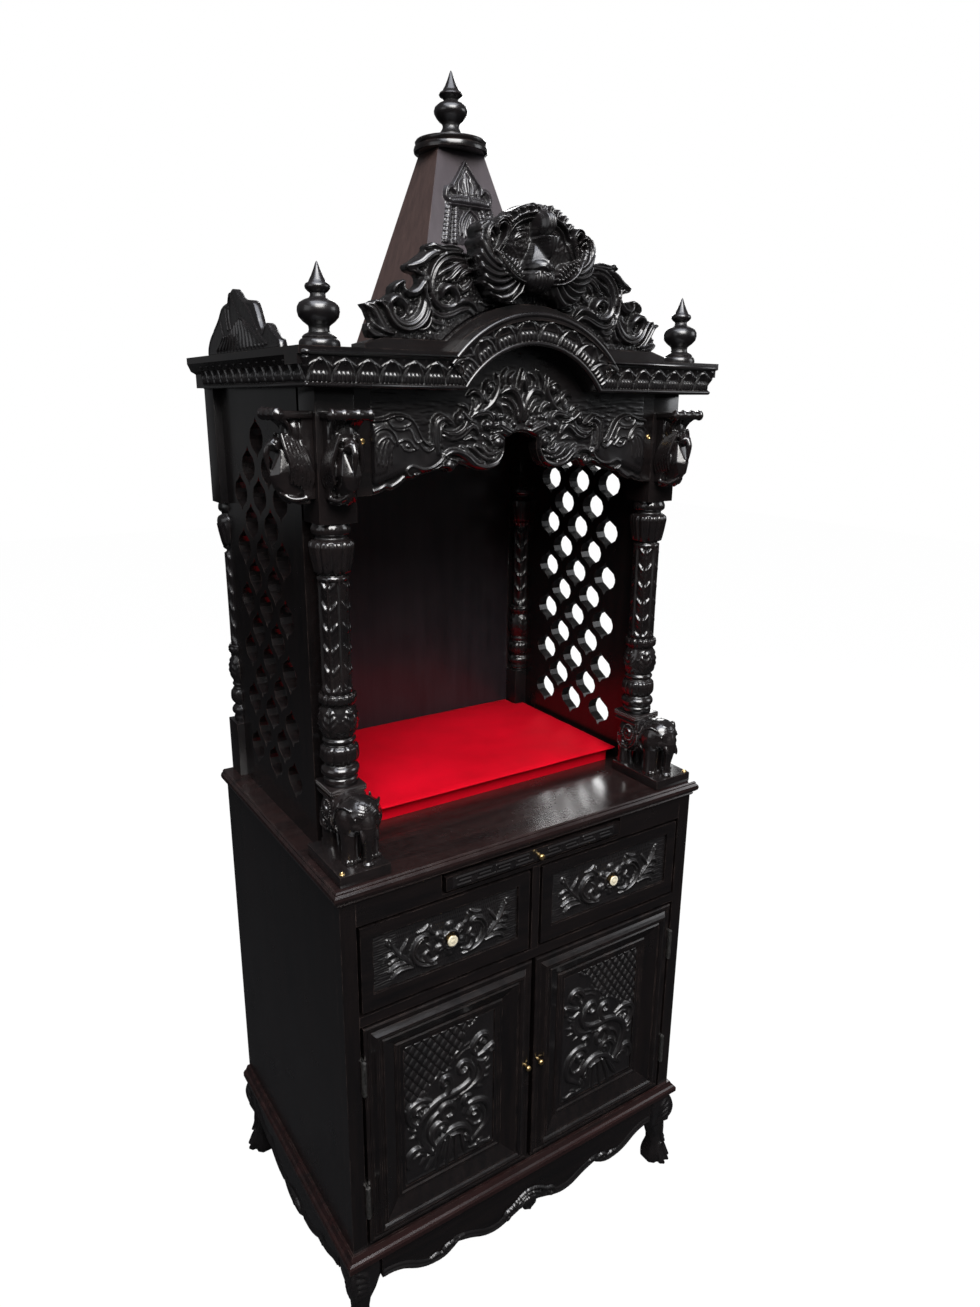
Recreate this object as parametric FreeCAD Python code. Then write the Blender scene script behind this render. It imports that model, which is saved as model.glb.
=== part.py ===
import FreeCAD, Part
import math
import os

V = FreeCAD.Vector

# Carved home shrine on a cabinet. Millimetres, floor at z = 0, front towards -Y.

# overall sizes
bodyX = 327.5            # half width of the cabinet
frontY = -227.0          # face of the cabinet frame
backY = 247.0            # flat back of the whole piece
carcassZ = 156.0         # underside of the carcass, top of the aprons
topZ = 805.0             # upper face of the countertop
roofZ = 1487.0           # upper face of the roof board

# boards and gaps
board = 18.0
frame = 20.0             # thickness of the face frame
thin = 6.0
reveal = 5.0             # gap round every moving front
slide = 0.3              # gap where a sliding piece rests
seat = 0.0

# face frame levels
floorTop = 180.0
doorLow, doorHigh = floorTop + reveal, 574.0
railLow, railHigh = doorHigh + reveal, 595.0
drawerLow, drawerHigh = railHigh + reveal, 736.0
trayStripLow, trayStripHigh = drawerHigh + reveal, 747.0
trayLow, trayHigh = trayStripHigh + reveal, 774.0
topThick = 25.0
underTop = topZ - topThick

openX = 304.0            # inner edge of the stiles
muntinX = 7.0
drawerIn, drawerOut = muntinX + reveal, openX - reveal
doorIn, doorOut = 4.0, openX - reveal
trayX = 164.0

# upper part
roofThick = 22.0
roofLow = roofZ - roofThick
sideOut, sideThick = 304.0, 18.0
postHalf = 26.0
postX, postY = sideOut - postHalf, -135.0
blockLow = 1277.0
sideFront = -103.0
backPostHalfX, backPostDeep = 28.0, 44.0
backPostX = sideOut + 12 - backPostHalfX
valanceThick = 18.0
upperBackThick = 10.0
valanceFront = postY - postHalf
corniceLow = 1443.0
corniceX, corniceFront = sideOut + 35, valanceFront - 44
corniceLip = 12.0        # how far the lower lip stands back from the top edge
crestY, crestThick = -175.0, 20.0


def box(x0, x1, y0, y1, z0, z1):
    return Part.makeBox(x1 - x0, y1 - y0, z1 - z0, V(x0, y0, z0))


def mirror(shape):
    return shape.mirror(V(0, 0, 0), V(1, 0, 0))


def pair(shape):
    return Part.makeCompound([shape, mirror(shape)])


def face(points):
    return Part.Face(Part.makePolygon([V(*p) for p in points + points[:1]]))


def plateXZ(points, y0, y1):
    # flat board cut to an outline of (x, z) points
    return face([(x, y0, z) for x, z in points]).extrude(V(0, y1 - y0, 0))


def plateYZ(points, x0, x1):
    return face([(x0, y, z) for y, z in points]).extrude(V(x1 - x0, 0, 0))


def turned(x, y, profile):
    # round piece from (radius, z) points
    pts = [(0, profile[0][1])] + list(profile) + [(0, profile[-1][1])]
    pts = [p for i, p in enumerate(pts) if i == 0 or p != pts[i - 1]]
    f = face([(x + r, y, z) for r, z in pts])
    return f.revolve(V(x, y, 0), V(0, 0, 1), 360)


def smooth(points, steps=4):
    # rounds a list of (a, b) points with a Catmull-Rom curve
    out = []
    n = len(points)
    for i in range(n - 1):
        p0, p1 = points[max(i - 1, 0)], points[i]
        p2, p3 = points[i + 1], points[min(i + 2, n - 1)]
        for s in range(steps):
            t = s / steps
            out.append(tuple(
                0.5 * (2 * p1[k] + (p2[k] - p0[k]) * t
                       + (2 * p0[k] - 5 * p1[k] + 4 * p2[k] - p3[k]) * t * t
                       + (3 * p1[k] - p0[k] - 3 * p2[k] + p3[k]) * t ** 3)
                for k in (0, 1)))
    return out + [points[-1]]


def bridge(first, last):
    # straight solid between two rings of points that match one to one
    n = len(first)
    faces = [Part.Face(Part.makePolygon(list(r) + [r[0]])) for r in (first, last)]
    for i in range(n):
        j = (i + 1) % n
        ring = [first[i], first[j], last[j], last[i]]
        faces.append(Part.Face(Part.makePolygon(ring + ring[:1])))
    solid = Part.Solid(Part.Shell(faces))
    return solid.reversed() if solid.Volume < 0 else solid


def mirrored(half):
    # half outline from the middle out to +x, given back as a whole outline
    left = [(-x, z) for x, z in reversed(half)]
    return left + [p for p in half if p[0] > 0.01]


def fuse(first, *others):
    return first.multiFuse(list(others)).removeSplitter()


def arc(halfWidth, base, rise, steps=14):
    # segment of a circle from +halfWidth to -halfWidth
    r = (halfWidth ** 2 + rise ** 2) / (2 * rise)
    out = []
    for i in range(steps + 1):
        x = halfWidth * (1 - 2 * i / steps)
        out.append((x, base + rise - r + math.sqrt(r * r - x * x)))
    return out


parts = {}

# cabinet carcass
parts["side_panels"] = pair(box(bodyX - board, bodyX, frontY + frame, backY, carcassZ, underTop))
innerX = bodyX - board
innerFront = frontY + frame
backBoard = 8.0
innerBack = backY - backBoard
parts["cabinet_back"] = box(-innerX, innerX, innerBack, backY, carcassZ, underTop)
parts["cabinet_floor"] = box(-innerX, innerX, innerFront, innerBack, floorTop - 16, floorTop)
dustTop = railHigh - 4
parts["dust_board"] = box(-innerX, innerX, innerFront, innerBack, railLow, dustTop)
parts["tray_shelf"] = box(-innerX, innerX, innerFront, innerBack, trayStripLow, trayStripHigh)
parts["frame_stiles"] = pair(box(openX, bodyX, frontY, innerFront, carcassZ, underTop))
parts["bottom_rail"] = box(-openX, openX, frontY, innerFront, carcassZ, floorTop)
parts["middle_rail"] = box(-openX, openX, frontY, innerFront, railLow, railHigh)
trayGap = trayX + reveal
parts["tray_rail"] = box(-openX, openX, frontY, innerFront, trayStripLow, underTop).cut(
    box(-trayGap, trayGap, frontY - 1, innerFront + 1, trayStripHigh, underTop + 1))
parts["drawer_divider"] = fuse(
    box(-muntinX, muntinX, frontY, innerFront, railHigh, trayStripLow),
    box(-muntinX, muntinX, innerFront, innerBack, dustTop, trayStripLow))

# countertop, a slab with a moulded edge on three sides
def mouldRun(points, start, end, outward, mitreStart, mitreEnd):
    # straight moulding between two corners, cut at 45 degrees where mitred
    sx, sy = start
    ex, ey = end
    length = math.hypot(ex - sx, ey - sy)
    ux, uy = (ex - sx) / length, (ey - sy) / length
    ox, oy = outward
    rings = []
    for (bx, by), sign, cutOn in ((start, -1, mitreStart), (end, 1, mitreEnd)):
        ring = []
        for d, z in points:
            k = sign * d if cutOn else 0
            ring.append(V(bx + ox * d + ux * k, by + oy * d + uy * k, z))
        rings.append(ring)
    return bridge(*rings)


coreX, coreFront = bodyX - 1.5, frontY + 2
topProfile = [(0, underTop), (4, underTop), (6, underTop + 3), (4, underTop + 6), (8, underTop + 7),
              (11, underTop + 10), (12, underTop + 14), (11, underTop + 18), (8, underTop + 21),
              (8, underTop + 23), (6, topZ), (0, topZ)]
parts["countertop"] = fuse(
    box(-coreX, coreX, coreFront, backY, underTop, topZ),
    mouldRun(topProfile, (-coreX, coreFront), (coreX, coreFront), (0, -1), True, True),
    mouldRun(topProfile, (coreX, coreFront), (coreX, backY), (1, 0), True, False),
    mouldRun(topProfile, (-coreX, backY), (-coreX, coreFront), (-1, 0), False, True))

# base moulding: bullnose above a cove
mouldTop, mouldOut = 181.0, 13.0
mouldProfile = [(0, carcassZ), (mouldOut - 3, carcassZ), (mouldOut, carcassZ + 4),
                (mouldOut, carcassZ + 12), (mouldOut - 2, carcassZ + 15),
                (mouldOut - 5, carcassZ + 17), (4, mouldTop), (0, mouldTop)]
parts["front_moulding"] = mouldRun(mouldProfile, (-bodyX, frontY), (bodyX, frontY), (0, -1), True, True)
parts["side_mouldings"] = pair(mouldRun(mouldProfile, (bodyX, frontY), (bodyX, backY), (1, 0), True, False))

# aprons with a scalloped lower edge
apronHalf = smooth([(0, 74), (10, 79), (16, 90)], 3) + smooth(
    [(17, 88), (36, 81), (64, 72), (92, 74), (120, 87), (146, 96)], 3) + smooth(
    [(150, 92), (172, 81), (200, 82), (222, 90), (246, 105), (268, 112), (283, 112)], 3)
apronX = 283.0
apronOut = 6.0
frontOutline = mirrored(apronHalf) + [(apronX, carcassZ), (-apronX, carcassZ)]
parts["front_apron"] = plateXZ(frontOutline, frontY - apronOut, frontY - apronOut + board)
sideHalf = smooth([(0, 58), (26, 62), (44, 74)], 3) + smooth(
    [(46, 71), (74, 74), (98, 84), (118, 97)], 3) + smooth([(120, 94), (148, 99), (176, 112), (192, 114)], 3)
sideMid = (frontY + backY) / 2
sideOutline = [(sideMid + y, z) for y, z in mirrored(sideHalf)]
sideOutline += [(sideMid + 192, carcassZ), (sideMid - 192, carcassZ)]
parts["side_aprons"] = pair(plateYZ(sideOutline, bodyX + apronOut - board, bodyX + apronOut))
parts["back_apron"] = box(-apronX, apronX, backY - board, backY, 110, carcassZ)


# cabriole legs, section by section down the corner
def leg(sx, sy):
    # inset of the centre from the corner, half size, height
    rows = [(20, 25, carcassZ), (19, 27, 138), (19, 26, 118), (18, 21, 96), (15, 15, 74),
            (13, 13, 56), (11, 16, 40), (12, 22, 22), (13, 23, 10), (13, 20, 0)]
    cornerX, cornerY = bodyX, (frontY if sy < 0 else backY)
    rings = []
    for inset, half, z in rows:
        back = 10 if sy > 0 else 0
        cx, cy = cornerX - inset, cornerY - sy * (inset + back)
        c = half * 0.45
        ring = [(half, c), (c, half), (-c, half), (-half, c), (-half, -c), (-c, -half), (c, -half), (half, -c)]
        rings.append(Part.makePolygon([V(sx * (cx + a), cy + b, z) for a, b in ring + ring[:1]]))
    return Part.makeLoft(rings, True, False)


legs = [leg(sx, sy) for sx in (-1, 1) for sy in (-1, 1)]
parts["legs"] = Part.makeCompound(legs)
for name in ("front_apron", "side_aprons", "back_apron"):
    parts[name] = parts[name].cut(parts["legs"])

# drawers
drawerThick, boxSide = 18.0, 12.0
drawerBack = 190.0
boxLow, boxHigh = drawerLow + 6, drawerHigh - 20
carveSide, carveRim = 21.0, 19.0
recess = 4.0


def knob(x, y, z, r, length):
    # round pull on a short neck, turned about the Y axis
    pts = [(0, 0), (r * 0.55, 0), (r * 0.45, length * 0.3), (r * 0.62, length * 0.45), (r, length * 0.6),
           (r, length * 0.78), (r * 0.75, length * 0.95), (0, length)]
    f = face([(x + a, y - b, z) for a, b in pts])
    return f.revolve(V(x, y, z), V(0, 1, 0), 360)


drawerKnobX, drawerKnobZ = (drawerIn + drawerOut) / 2, drawerLow + 70
for side, sign in (("left", -1), ("right", 1)):
    frontPiece = box(drawerIn, drawerOut, frontY, frontY + drawerThick, drawerLow, drawerHigh)
    frontPiece = frontPiece.cut(box(
        drawerIn + carveSide, drawerOut - carveSide + 2, frontY - 1, frontY + recess,
        drawerLow + carveRim + 6, drawerHigh - carveRim))
    outer = box(drawerIn + 8, drawerOut - 6, frontY + drawerThick, drawerBack, boxLow, boxHigh)
    inner = box(drawerIn + 8 + boxSide, drawerOut - 6 - boxSide, frontY + drawerThick + boxSide,
                drawerBack - boxSide, boxLow + thin, boxHigh + 1)
    tray = outer.cut(inner)
    pull = knob(drawerKnobX, frontY + recess, drawerKnobZ, 10.5, 20)
    if sign < 0:
        frontPiece, tray, pull = mirror(frontPiece), mirror(tray), mirror(pull)
    parts[side + "_drawer_front"] = frontPiece
    parts[side + "_drawer_box"] = tray
    parts[side + "_drawer_knob"] = pull

runner = box(drawerIn + 8, drawerIn + 30, innerFront, innerBack, dustTop, boxLow - slide)
runner2 = box(drawerOut - 28, drawerOut - 6, innerFront, innerBack, dustTop, boxLow - slide)
parts["drawer_runners"] = Part.makeCompound([runner, runner2, mirror(runner), mirror(runner2)])

# pull-out tray under the countertop
trayFace, trayBoardLow, trayBoardHigh = frontY - 4, 757.0, 769.0
trayFrontThick = 20.0
parts["tray_front"] = box(-trayX, trayX, trayFace, trayFace + trayFrontThick, trayLow, trayHigh)
parts["tray_board"] = box(-150, 150, trayFace + trayFrontThick, 160, trayBoardLow, trayBoardHigh)
parts["tray_knob"] = knob(0, trayFace, 763, 6.8, 16)
lowRun = box(122, 150, innerFront, innerBack, trayStripHigh, trayBoardLow - slide)
highRun = box(122, 150, innerFront, innerBack, trayBoardHigh + slide, underTop)
parts["tray_runners"] = Part.makeCompound([lowRun, highRun, mirror(lowRun), mirror(highRun)])

# doors: mitred frame with an ogee moulding, carved field set back inside
doorThick = 22.0
# distance in from the door's edge, height in front of its face
doorProfile = [(0, 0), (2, 1.5), (5, 1.5), (7, 0), (11, 0), (14, 3), (17, 7), (20, 8), (23, 6), (25, 3), (27, 3),
               (29, 5), (31, 4), (52, -6), (54, -4), (58, -4), (60, -6), (66, -6), (66, -13), (44, -13),
               (44, -doorThick), (0, -doorThick)]
fieldInset, rebateInset, fieldBack = 66.0, 44.0, -13.0
pinX, pinY, pinR, knuckleR = openX - reveal / 2, frontY - 3.8, 1.5, 3.5
pinGap = 0.05
hingeLong = 56.0
hingeSpans = ((doorLow + 56, doorLow + 56 + hingeLong), (doorHigh - 53 - hingeLong, doorHigh - 53))
leafThick = 1.5


def hingeLeaf(x0, x1, z0, z1, yEnd):
    return box(x0, x1, pinY + 0.4, yEnd, z0, z1)


fixedLeaves, movingLeaves = [], []
for low, high in hingeSpans:
    third = (high - low) / 3
    spans = ((low, low + third - 0.3), (high - third + 0.3, high))
    pin = Part.makeCylinder(pinR, high - low, V(pinX, pinY, low))
    ends = [Part.makeCylinder(knuckleR, b - a, V(pinX, pinY, a)) for a, b in spans]
    webs = [hingeLeaf(openX - leafThick, openX, a, b, frontY + 1) for a, b in spans]
    plate = box(openX - leafThick, openX, frontY, frontY + 16, low, high)
    fixedLeaves.append(fuse(pin, plate, *(ends + webs)))
    a, b = low + third, high - third
    middle = Part.makeCylinder(knuckleR, b - a, V(pinX, pinY, a))
    web = hingeLeaf(doorOut, doorOut + leafThick, a, b, frontY + 1)
    plate = box(doorOut, doorOut + leafThick, frontY, frontY + 16, low, high)
    body = fuse(middle, web, plate)
    movingLeaves.append(body.cut(Part.makeCylinder(pinR + pinGap, b - a + 2, V(pinX, pinY, a - 1))))

parts["hinge_plates"] = Part.makeCompound(fixedLeaves + [mirror(s) for s in fixedLeaves])


def doorRun(a, b, inA, inB):
    # one mitred side of the frame from corner a to corner b, in the x-z plane
    rings = []
    for (cx, cz), (ix, iz) in ((a, inA), (b, inB)):
        rings.append([V(cx + ix * d, frontY - h, cz + iz * d) for d, h in doorProfile])
    return bridge(*rings)


for side, sign in (("left", -1), ("right", 1)):
    corners = [((doorIn, doorLow), (1, 1)), ((doorOut, doorLow), (-1, 1)),
               ((doorOut, doorHigh), (-1, -1)), ((doorIn, doorHigh), (1, -1))]
    runs = [doorRun(corners[i][0], corners[(i + 1) % 4][0], corners[i][1], corners[(i + 1) % 4][1])
            for i in range(4)]
    doorFrame = fuse(*runs)
    e, g = rebateInset, fieldInset
    panel = fuse(box(doorIn + e, doorOut - e, frontY - fieldBack, frontY - fieldBack + 8, doorLow + e, doorHigh - e),
                 box(doorIn + g, doorOut - g, frontY + 8, frontY - fieldBack + 1, doorLow + g, doorHigh - g))
    leaves = Part.makeCompound(movingLeaves)
    pull = knob(doorIn + 9, frontY, (doorLow + doorHigh) / 2, 6.5, 19).cut(doorFrame)
    if sign < 0:
        doorFrame, panel, pull, leaves = mirror(doorFrame), mirror(panel), mirror(pull), mirror(leaves)
    parts[side + "_door_frame"] = doorFrame
    parts[side + "_door_panel"] = panel
    parts[side + "_door_knob"] = pull
    parts[side + "_door_hinges"] = leaves

# elephants on plinths, carrying the front posts
plinthX0, plinthX1 = postX - 30, postX + 46
plinthY0, plinthY1, plinthZ = postY - 91, postY + 21, topZ + 17
saddleZ = plinthZ + 94


def ball(x, y, z, rx, ry, rz):
    m = FreeCAD.Matrix()
    m.scale(rx, ry, rz)
    s = Part.makeSphere(1.0).transformGeometry(m)
    s.translate(V(x, y, z))
    return s


def ringLoft(rows, n=10, smoothOn=False):
    # body through upright oval sections: (y, centre x, centre z, half width, half height)
    rings = []
    for y, x, z, rx, rz in rows:
        ring = [V(x + rx * math.cos(a * 2 * math.pi / n), y, z + rz * math.sin(a * 2 * math.pi / n))
                for a in range(n)]
        rings.append(Part.makePolygon(ring + ring[:1]))
    return Part.makeLoft(rings, True, not smoothOn)


def elephant():
    x, z0 = postX, plinthZ
    pieces = [box(plinthX0, plinthX1, plinthY0, plinthY1, topZ, plinthZ)]
    pieces.append(ringLoft([(postY + 19, x, z0 + 56, 14, 20), (postY + 12, x, z0 + 58, 23, 29),
                            (postY - 4, x, z0 + 60, 29, 34), (postY - 26, x, z0 + 60, 30, 34),
                            (postY - 46, x, z0 + 62, 27, 31), (postY - 58, x, z0 + 66, 21, 26)], 12))
    for dx, dy in ((-15, 3), (15, 3), (-14, -58), (14, -58)):
        pieces.append(Part.makeCone(13, 11, 44, V(x + dx, postY + dy, z0 - 1)))
    # head, and a trunk that hangs down to the plinth
    pieces.append(ball(x, postY - 66, z0 + 70, 25, 21, 23))
    pieces.append(turned(x, postY - 80, [(7.5, z0 - 1), (6.5, z0 + 30), (9.5, z0 + 58)]))
    pieces.append(box(x - 24, x + 24, postY - 24, postY + 24, saddleZ - 18, saddleZ))
    return fuse(*pieces)


one = elephant()
parts["elephant_bases"] = pair(one)

# front posts: base, vase, fluted shaft, lotus bulb, square head
postRows = [(24, 0), (24, 8), (21, 11), (25, 14), (27, 20), (25, 25), (20.5, 30), (26.5, 38), (27, 46), (25.5, 54),
            (20.5, 60), (23, 64), (20.5, 69), (25, 82), (26, 94), (24, 106), (21.5, 116), (25, 126), (23.5, 132),
            (21, 136), (21, 290), (23.5, 300), (26, 312), (28.5, 328), (26.5, 338), (21, 341), (20.5, 344),
            (25, 348), (25.8, 353), (24, 361)]
postScale = (blockLow - saddleZ) / 361
postProfile = [(r, saddleZ + h * postScale) for r, h in postRows]
shaft = turned(postX, postY, postProfile)
head = box(postX - postHalf, postX + postHalf, postY - postHalf, postY + postHalf, blockLow, roofLow)
parts["front_posts"] = pair(fuse(shaft, head))

# back posts: square with a waisted middle
bp = box(backPostX - backPostHalfX, backPostX + backPostHalfX, backY - backPostDeep, backY, topZ, roofLow)
waist = 3.0
ringCut = box(backPostX - 40, backPostX + 40, backY - 60, backY + 1, 898, 1270).cut(
    box(backPostX - backPostHalfX + waist, backPostX + backPostHalfX - waist,
        backY - backPostDeep + waist, backY + 2, 890, 1280))
parts["back_posts"] = pair(bp.cut(ringCut))

# pierced side panels
backPostFront = backY - backPostDeep
pitchY, pitchZ = 40.7, 82.3
holeMidY, holeTopZ = (sideFront + backPostFront) / 2 + 5, roofLow - 90
half = [(0, 29), (5, 22), (14, 17), (23, 12), (27.5, 3), (27.5, -3), (23, -12), (14, -17), (5, -22)]
lozenge = half + [(-y, -z) for y, z in half]
panelBox = box(sideOut - sideThick, sideOut, sideFront, backPostFront, topZ, roofLow)
cutters = []
for col in range(-2, 3):
    count = 7 if col == 0 else 6
    first = holeTopZ - (0 if col == 0 else (pitchZ / 2 if col % 2 else pitchZ))
    for row in range(count):
        y0, z0 = holeMidY + col * pitchY, first - row * pitchZ
        cutters.append(plateYZ([(y0 + a, z0 + b) for a, b in lozenge], sideOut - sideThick - 1, sideOut + 1))
jali = panelBox.cut(Part.makeCompound(cutters))
parts["right_side_screen"] = jali
parts["left_side_screen"] = mirror(jali)

parts["upper_back"] = box(-(backPostX - backPostHalfX), backPostX - backPostHalfX,
                          backY - upperBackThick, backY, topZ, roofLow)

# valance: pierced-edge board between the post heads
valX = postX - postHalf
# half outline of the scalloped edge: distance from the middle, drop below the cornice
scallops = [(0, 55), (10, 56), (20, 61), (28, 64), (28, 74), (31, 88), (42, 102), (61, 107), (80, 103), (98, 96),
            (104, 97), (109, 104), (116, 107), (124, 102), (141, 105), (161, 109), (172, 114), (182, 114),
            (190, 120), (204, 127), (211, 125), (219, 129), (233, 132)]
lower = [(x, corniceLow - drop) for x, drop in smooth(scallops, 2)] + [(valX, corniceLow - 133)]
archTop = arc(122, roofZ - 9, 36)
valanceOutline = mirrored(lower) + [(valX, roofLow), (122, roofLow)] + archTop + [(-122, roofLow), (-valX, roofLow)]
parts["valance"] = plateXZ(valanceOutline, valanceFront, valanceFront + valanceThick)

# roof board and cornice
roof = box(-sideOut, sideOut, valanceFront, backY, roofLow, roofZ)
parts["roof_board"] = roof.cut(box(-valX, valX, valanceFront - 1, valanceFront + valanceThick, roofLow - 1, roofZ + 1))
lowArc, topArc = arc(108, corniceLow, 60), arc(128, roofZ, 53)


def corniceFace(y0, y1, dz):
    # arched board between two levels, its upper part dz thick when given
    top = [(corniceX, roofZ), (128, roofZ)] + topArc[1:-1] + [(-128, roofZ), (-corniceX, roofZ)]
    if dz:
        low = [(-corniceX, roofZ - dz), (-128, roofZ - dz)]
        low += [(-x, z) for x, z in arc(128, roofZ - dz, 53)[1:-1]] + [(128, roofZ - dz), (corniceX, roofZ - dz)]
    else:
        low = [(-corniceX + corniceLip, corniceLow), (-108, corniceLow)]
        low += [(-x, z) for x, z in lowArc[1:-1]] + [(108, corniceLow), (corniceX - corniceLip, corniceLow)]
        top = [(corniceX - corniceLip, roofZ)] + top[1:-1] + [(-corniceX + corniceLip, roofZ)]
    return plateXZ(low + top, y0, y1)


parts["front_cornice"] = fuse(corniceFace(corniceFront + 10, valanceFront, 0),
                              corniceFace(corniceFront, valanceFront, 9),
                              corniceFace(corniceFront + 5, valanceFront, 20))
sideProfile = [(sideOut, corniceLow), (corniceX - corniceLip, corniceLow), (corniceX - corniceLip, roofZ - 24),
               (corniceX - 5, roofZ - 20), (corniceX, roofZ - 9), (corniceX, roofZ), (sideOut, roofZ)]
sideCornice = face([(x, valanceFront, z) for x, z in sideProfile]).extrude(V(0, backY - valanceFront, 0))
parts["side_cornices"] = pair(sideCornice).cut(parts["back_posts"])

# crest on a slab that follows the arch
slabLift = 14.0
slabArcLow = arc(128, roofZ, 53)
slabArcTop = arc(132, roofZ + slabLift, 51)
slabOutline = [(-246, roofZ), (-128, roofZ)] + [(-x, z) for x, z in slabArcLow[1:-1]] + [(128, roofZ), (246, roofZ)]
slabOutline += [(246, roofZ + 7), (220, roofZ + slabLift)] + slabArcTop + [(-220, roofZ + slabLift), (-246, roofZ + 7)]
parts["crest_base"] = plateXZ(slabOutline, crestY - 8, crestY + 30)
# half outline: distance from the middle, height above the roof board
crestHalf = [(0, 187), (18, 184), (34, 177), (44, 165), (50, 153), (56, 139), (66, 125), (78, 117), (101, 119),
             (119, 124), (133, 125), (147, 126), (155, 116), (168, 107), (180, 99), (182, 94), (168, 89),
             (156, 84), (163, 78), (170, 72), (182, 66), (187, 76), (196, 80), (203, 74), (200, 66), (208, 61),
             (222, 54), (240, 52), (236, 39), (234, 29), (228, 21), (222, slabLift)]
crestHalf = [(x, roofZ + h) for x, h in crestHalf]
crestTopRight = smooth(crestHalf, 2)
crestLow = [(-x, z) for x, z in slabArcTop]
crestOutline = [(-x, z) for x, z in crestTopRight[::-1]] + crestTopRight[1:]
crestOutline += [(132, roofZ + slabLift)] + slabArcTop[1:-1] + [(-132, roofZ + slabLift)]
crestBoard = plateXZ(crestOutline, crestY, crestY + crestThick)
# bird with spread wings in front of the board
birdZ = roofZ + 110
wing = smooth([(10, -26), (32, -46), (54, -42), (72, -30), (84, -12), (88, 12), (89, 34), (84, 50), (70, 56),
               (58, 46), (48, 22), (30, 4), (12, -8), (10, -26)], 2)
wingPlate = plateXZ([(x, birdZ - 5 + z) for x, z in wing], crestY - 24, crestY + 1)
chest = ball(0, crestY - 14, birdZ - 6, 26, 26, 32)
birdHead = ball(0, crestY - 20, birdZ + 36, 15, 17, 20)
beak = Part.makeCone(7, 1.5, 26, V(0, crestY - 31, birdZ + 34), V(0, -0.35, -1))
plume = plateXZ([(-46, birdZ + 24), (-44, birdZ + 48), (-30, birdZ + 64), (-12, birdZ + 71), (12, birdZ + 71),
                 (30, birdZ + 64), (44, birdZ + 48), (46, birdZ + 24), (20, birdZ + 10), (-20, birdZ + 10)],
                crestY - 16, crestY + 1)
crest = fuse(crestBoard, wingPlate, mirror(wingPlate), chest, birdHead, beak, plume)
parts["crest"] = crest.cut(parts["crest_base"])

# side crests, corner finials
# outline of a side crest: depth from its back end, height above the roof board
sideCrestRows = [(0, 0), (3, 13), (14, 25), (28, 33), (42, 41), (60, 51), (76, 63), (92, 67), (106, 69), (118, 79),
                 (130, 84), (142, 80), (156, 71), (172, 66), (194, 65), (208, 61), (218, 49), (228, 33), (238, 25),
                 (246, 31), (256, 33), (268, 25), (282, 17), (294, 11), (298, 0)]
sideCrestBack, sideCrestIn, sideCrestThick = backY - 47, sideOut + 2, 18.0
sideCrest = [(sideCrestBack - d, roofZ + h) for d, h in smooth(sideCrestRows, 2)]
parts["side_crests"] = pair(plateYZ(sideCrest, sideCrestIn, sideCrestIn + sideCrestThick))

finialX, finialY = sideOut - 9, valanceFront - 2
finialRows = [(24, 0), (24, 9), (20, 13), (13, 17), (13, 25), (22, 31), (25, 40), (24, 48), (14, 54), (9, 57),
              (9, 61), (14, 65), (14, 70), (10, 73), (6, 79), (1, 95)]
finialProfile = [(r, roofZ + h) for r, h in finialRows]
parts["corner_finials"] = pair(turned(finialX, finialY, finialProfile))

# spire of four tapered boards, disc and finial
spireY = 25.0
spireLow, spireHigh = roofZ, 1769.0
lowHX, lowHY, highHX, highHY = 121.0, 102.0, 38.0, 28.0
spireBoard = 12.0


def boards(corners):
    out = []
    for c in corners:
        rings = []
        for z, hx, hy in ((spireLow, lowHX, lowHY), (spireHigh, highHX, highHY)):
            k = spireBoard
            if c in ("front", "back"):
                s = -1 if c == "front" else 1
                ring = [V(-hx, spireY + s * hy, z), V(hx, spireY + s * hy, z),
                        V(hx - k, spireY + s * (hy - k), z), V(-hx + k, spireY + s * (hy - k), z)]
            else:
                s = -1 if c == "left" else 1
                ring = [V(s * hx, spireY - hy, z), V(s * hx, spireY + hy, z),
                        V(s * (hx - k), spireY + hy - k, z), V(s * (hx - k), spireY - hy + k, z)]
            rings.append(ring)
        out.append(bridge(*rings))
    return Part.makeCompound(out)


parts["spire_front_back"] = boards(["front", "back"])
parts["spire_sides"] = boards(["left", "right"])
parts["spire_cap"] = Part.makeCylinder(54, 17, V(0, spireY, spireHigh))
capTop = spireHigh + 17
spireRows = [(20, 0), (20, 10), (14, 14), (12, 20), (14, 24), (20, 29), (24.5, 38), (20, 47), (10, 52), (12, 55),
             (17, 59), (13, 64), (11, 68), (7, 74), (1, 91)]
spireProfile = [(r, capTop + h) for r, h in spireRows]
parts["spire_finial"] = turned(0, spireY, spireProfile)

# velvet covered platform
platX, platFront, platTop = 277.0, -88.0, 835.0
platBack = backY - upperBackThick - 0.5
notchX = backPostX - backPostHalfX - 2
notchY = backY - backPostDeep - 2
coverThick = 6.0


def platform(inset, z0, z1):
    p = box(-platX + inset, platX - inset, platFront + inset, platBack, z0, z1)
    corner = box(notchX, 400, notchY, 400, z0 - 1, z1 + 1)
    return p.cut(corner).cut(mirror(corner))


parts["platform_riser"] = platform(12, topZ, platTop - coverThick)
parts["platform_cover"] = platform(0, platTop - coverThick, platTop)

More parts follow.
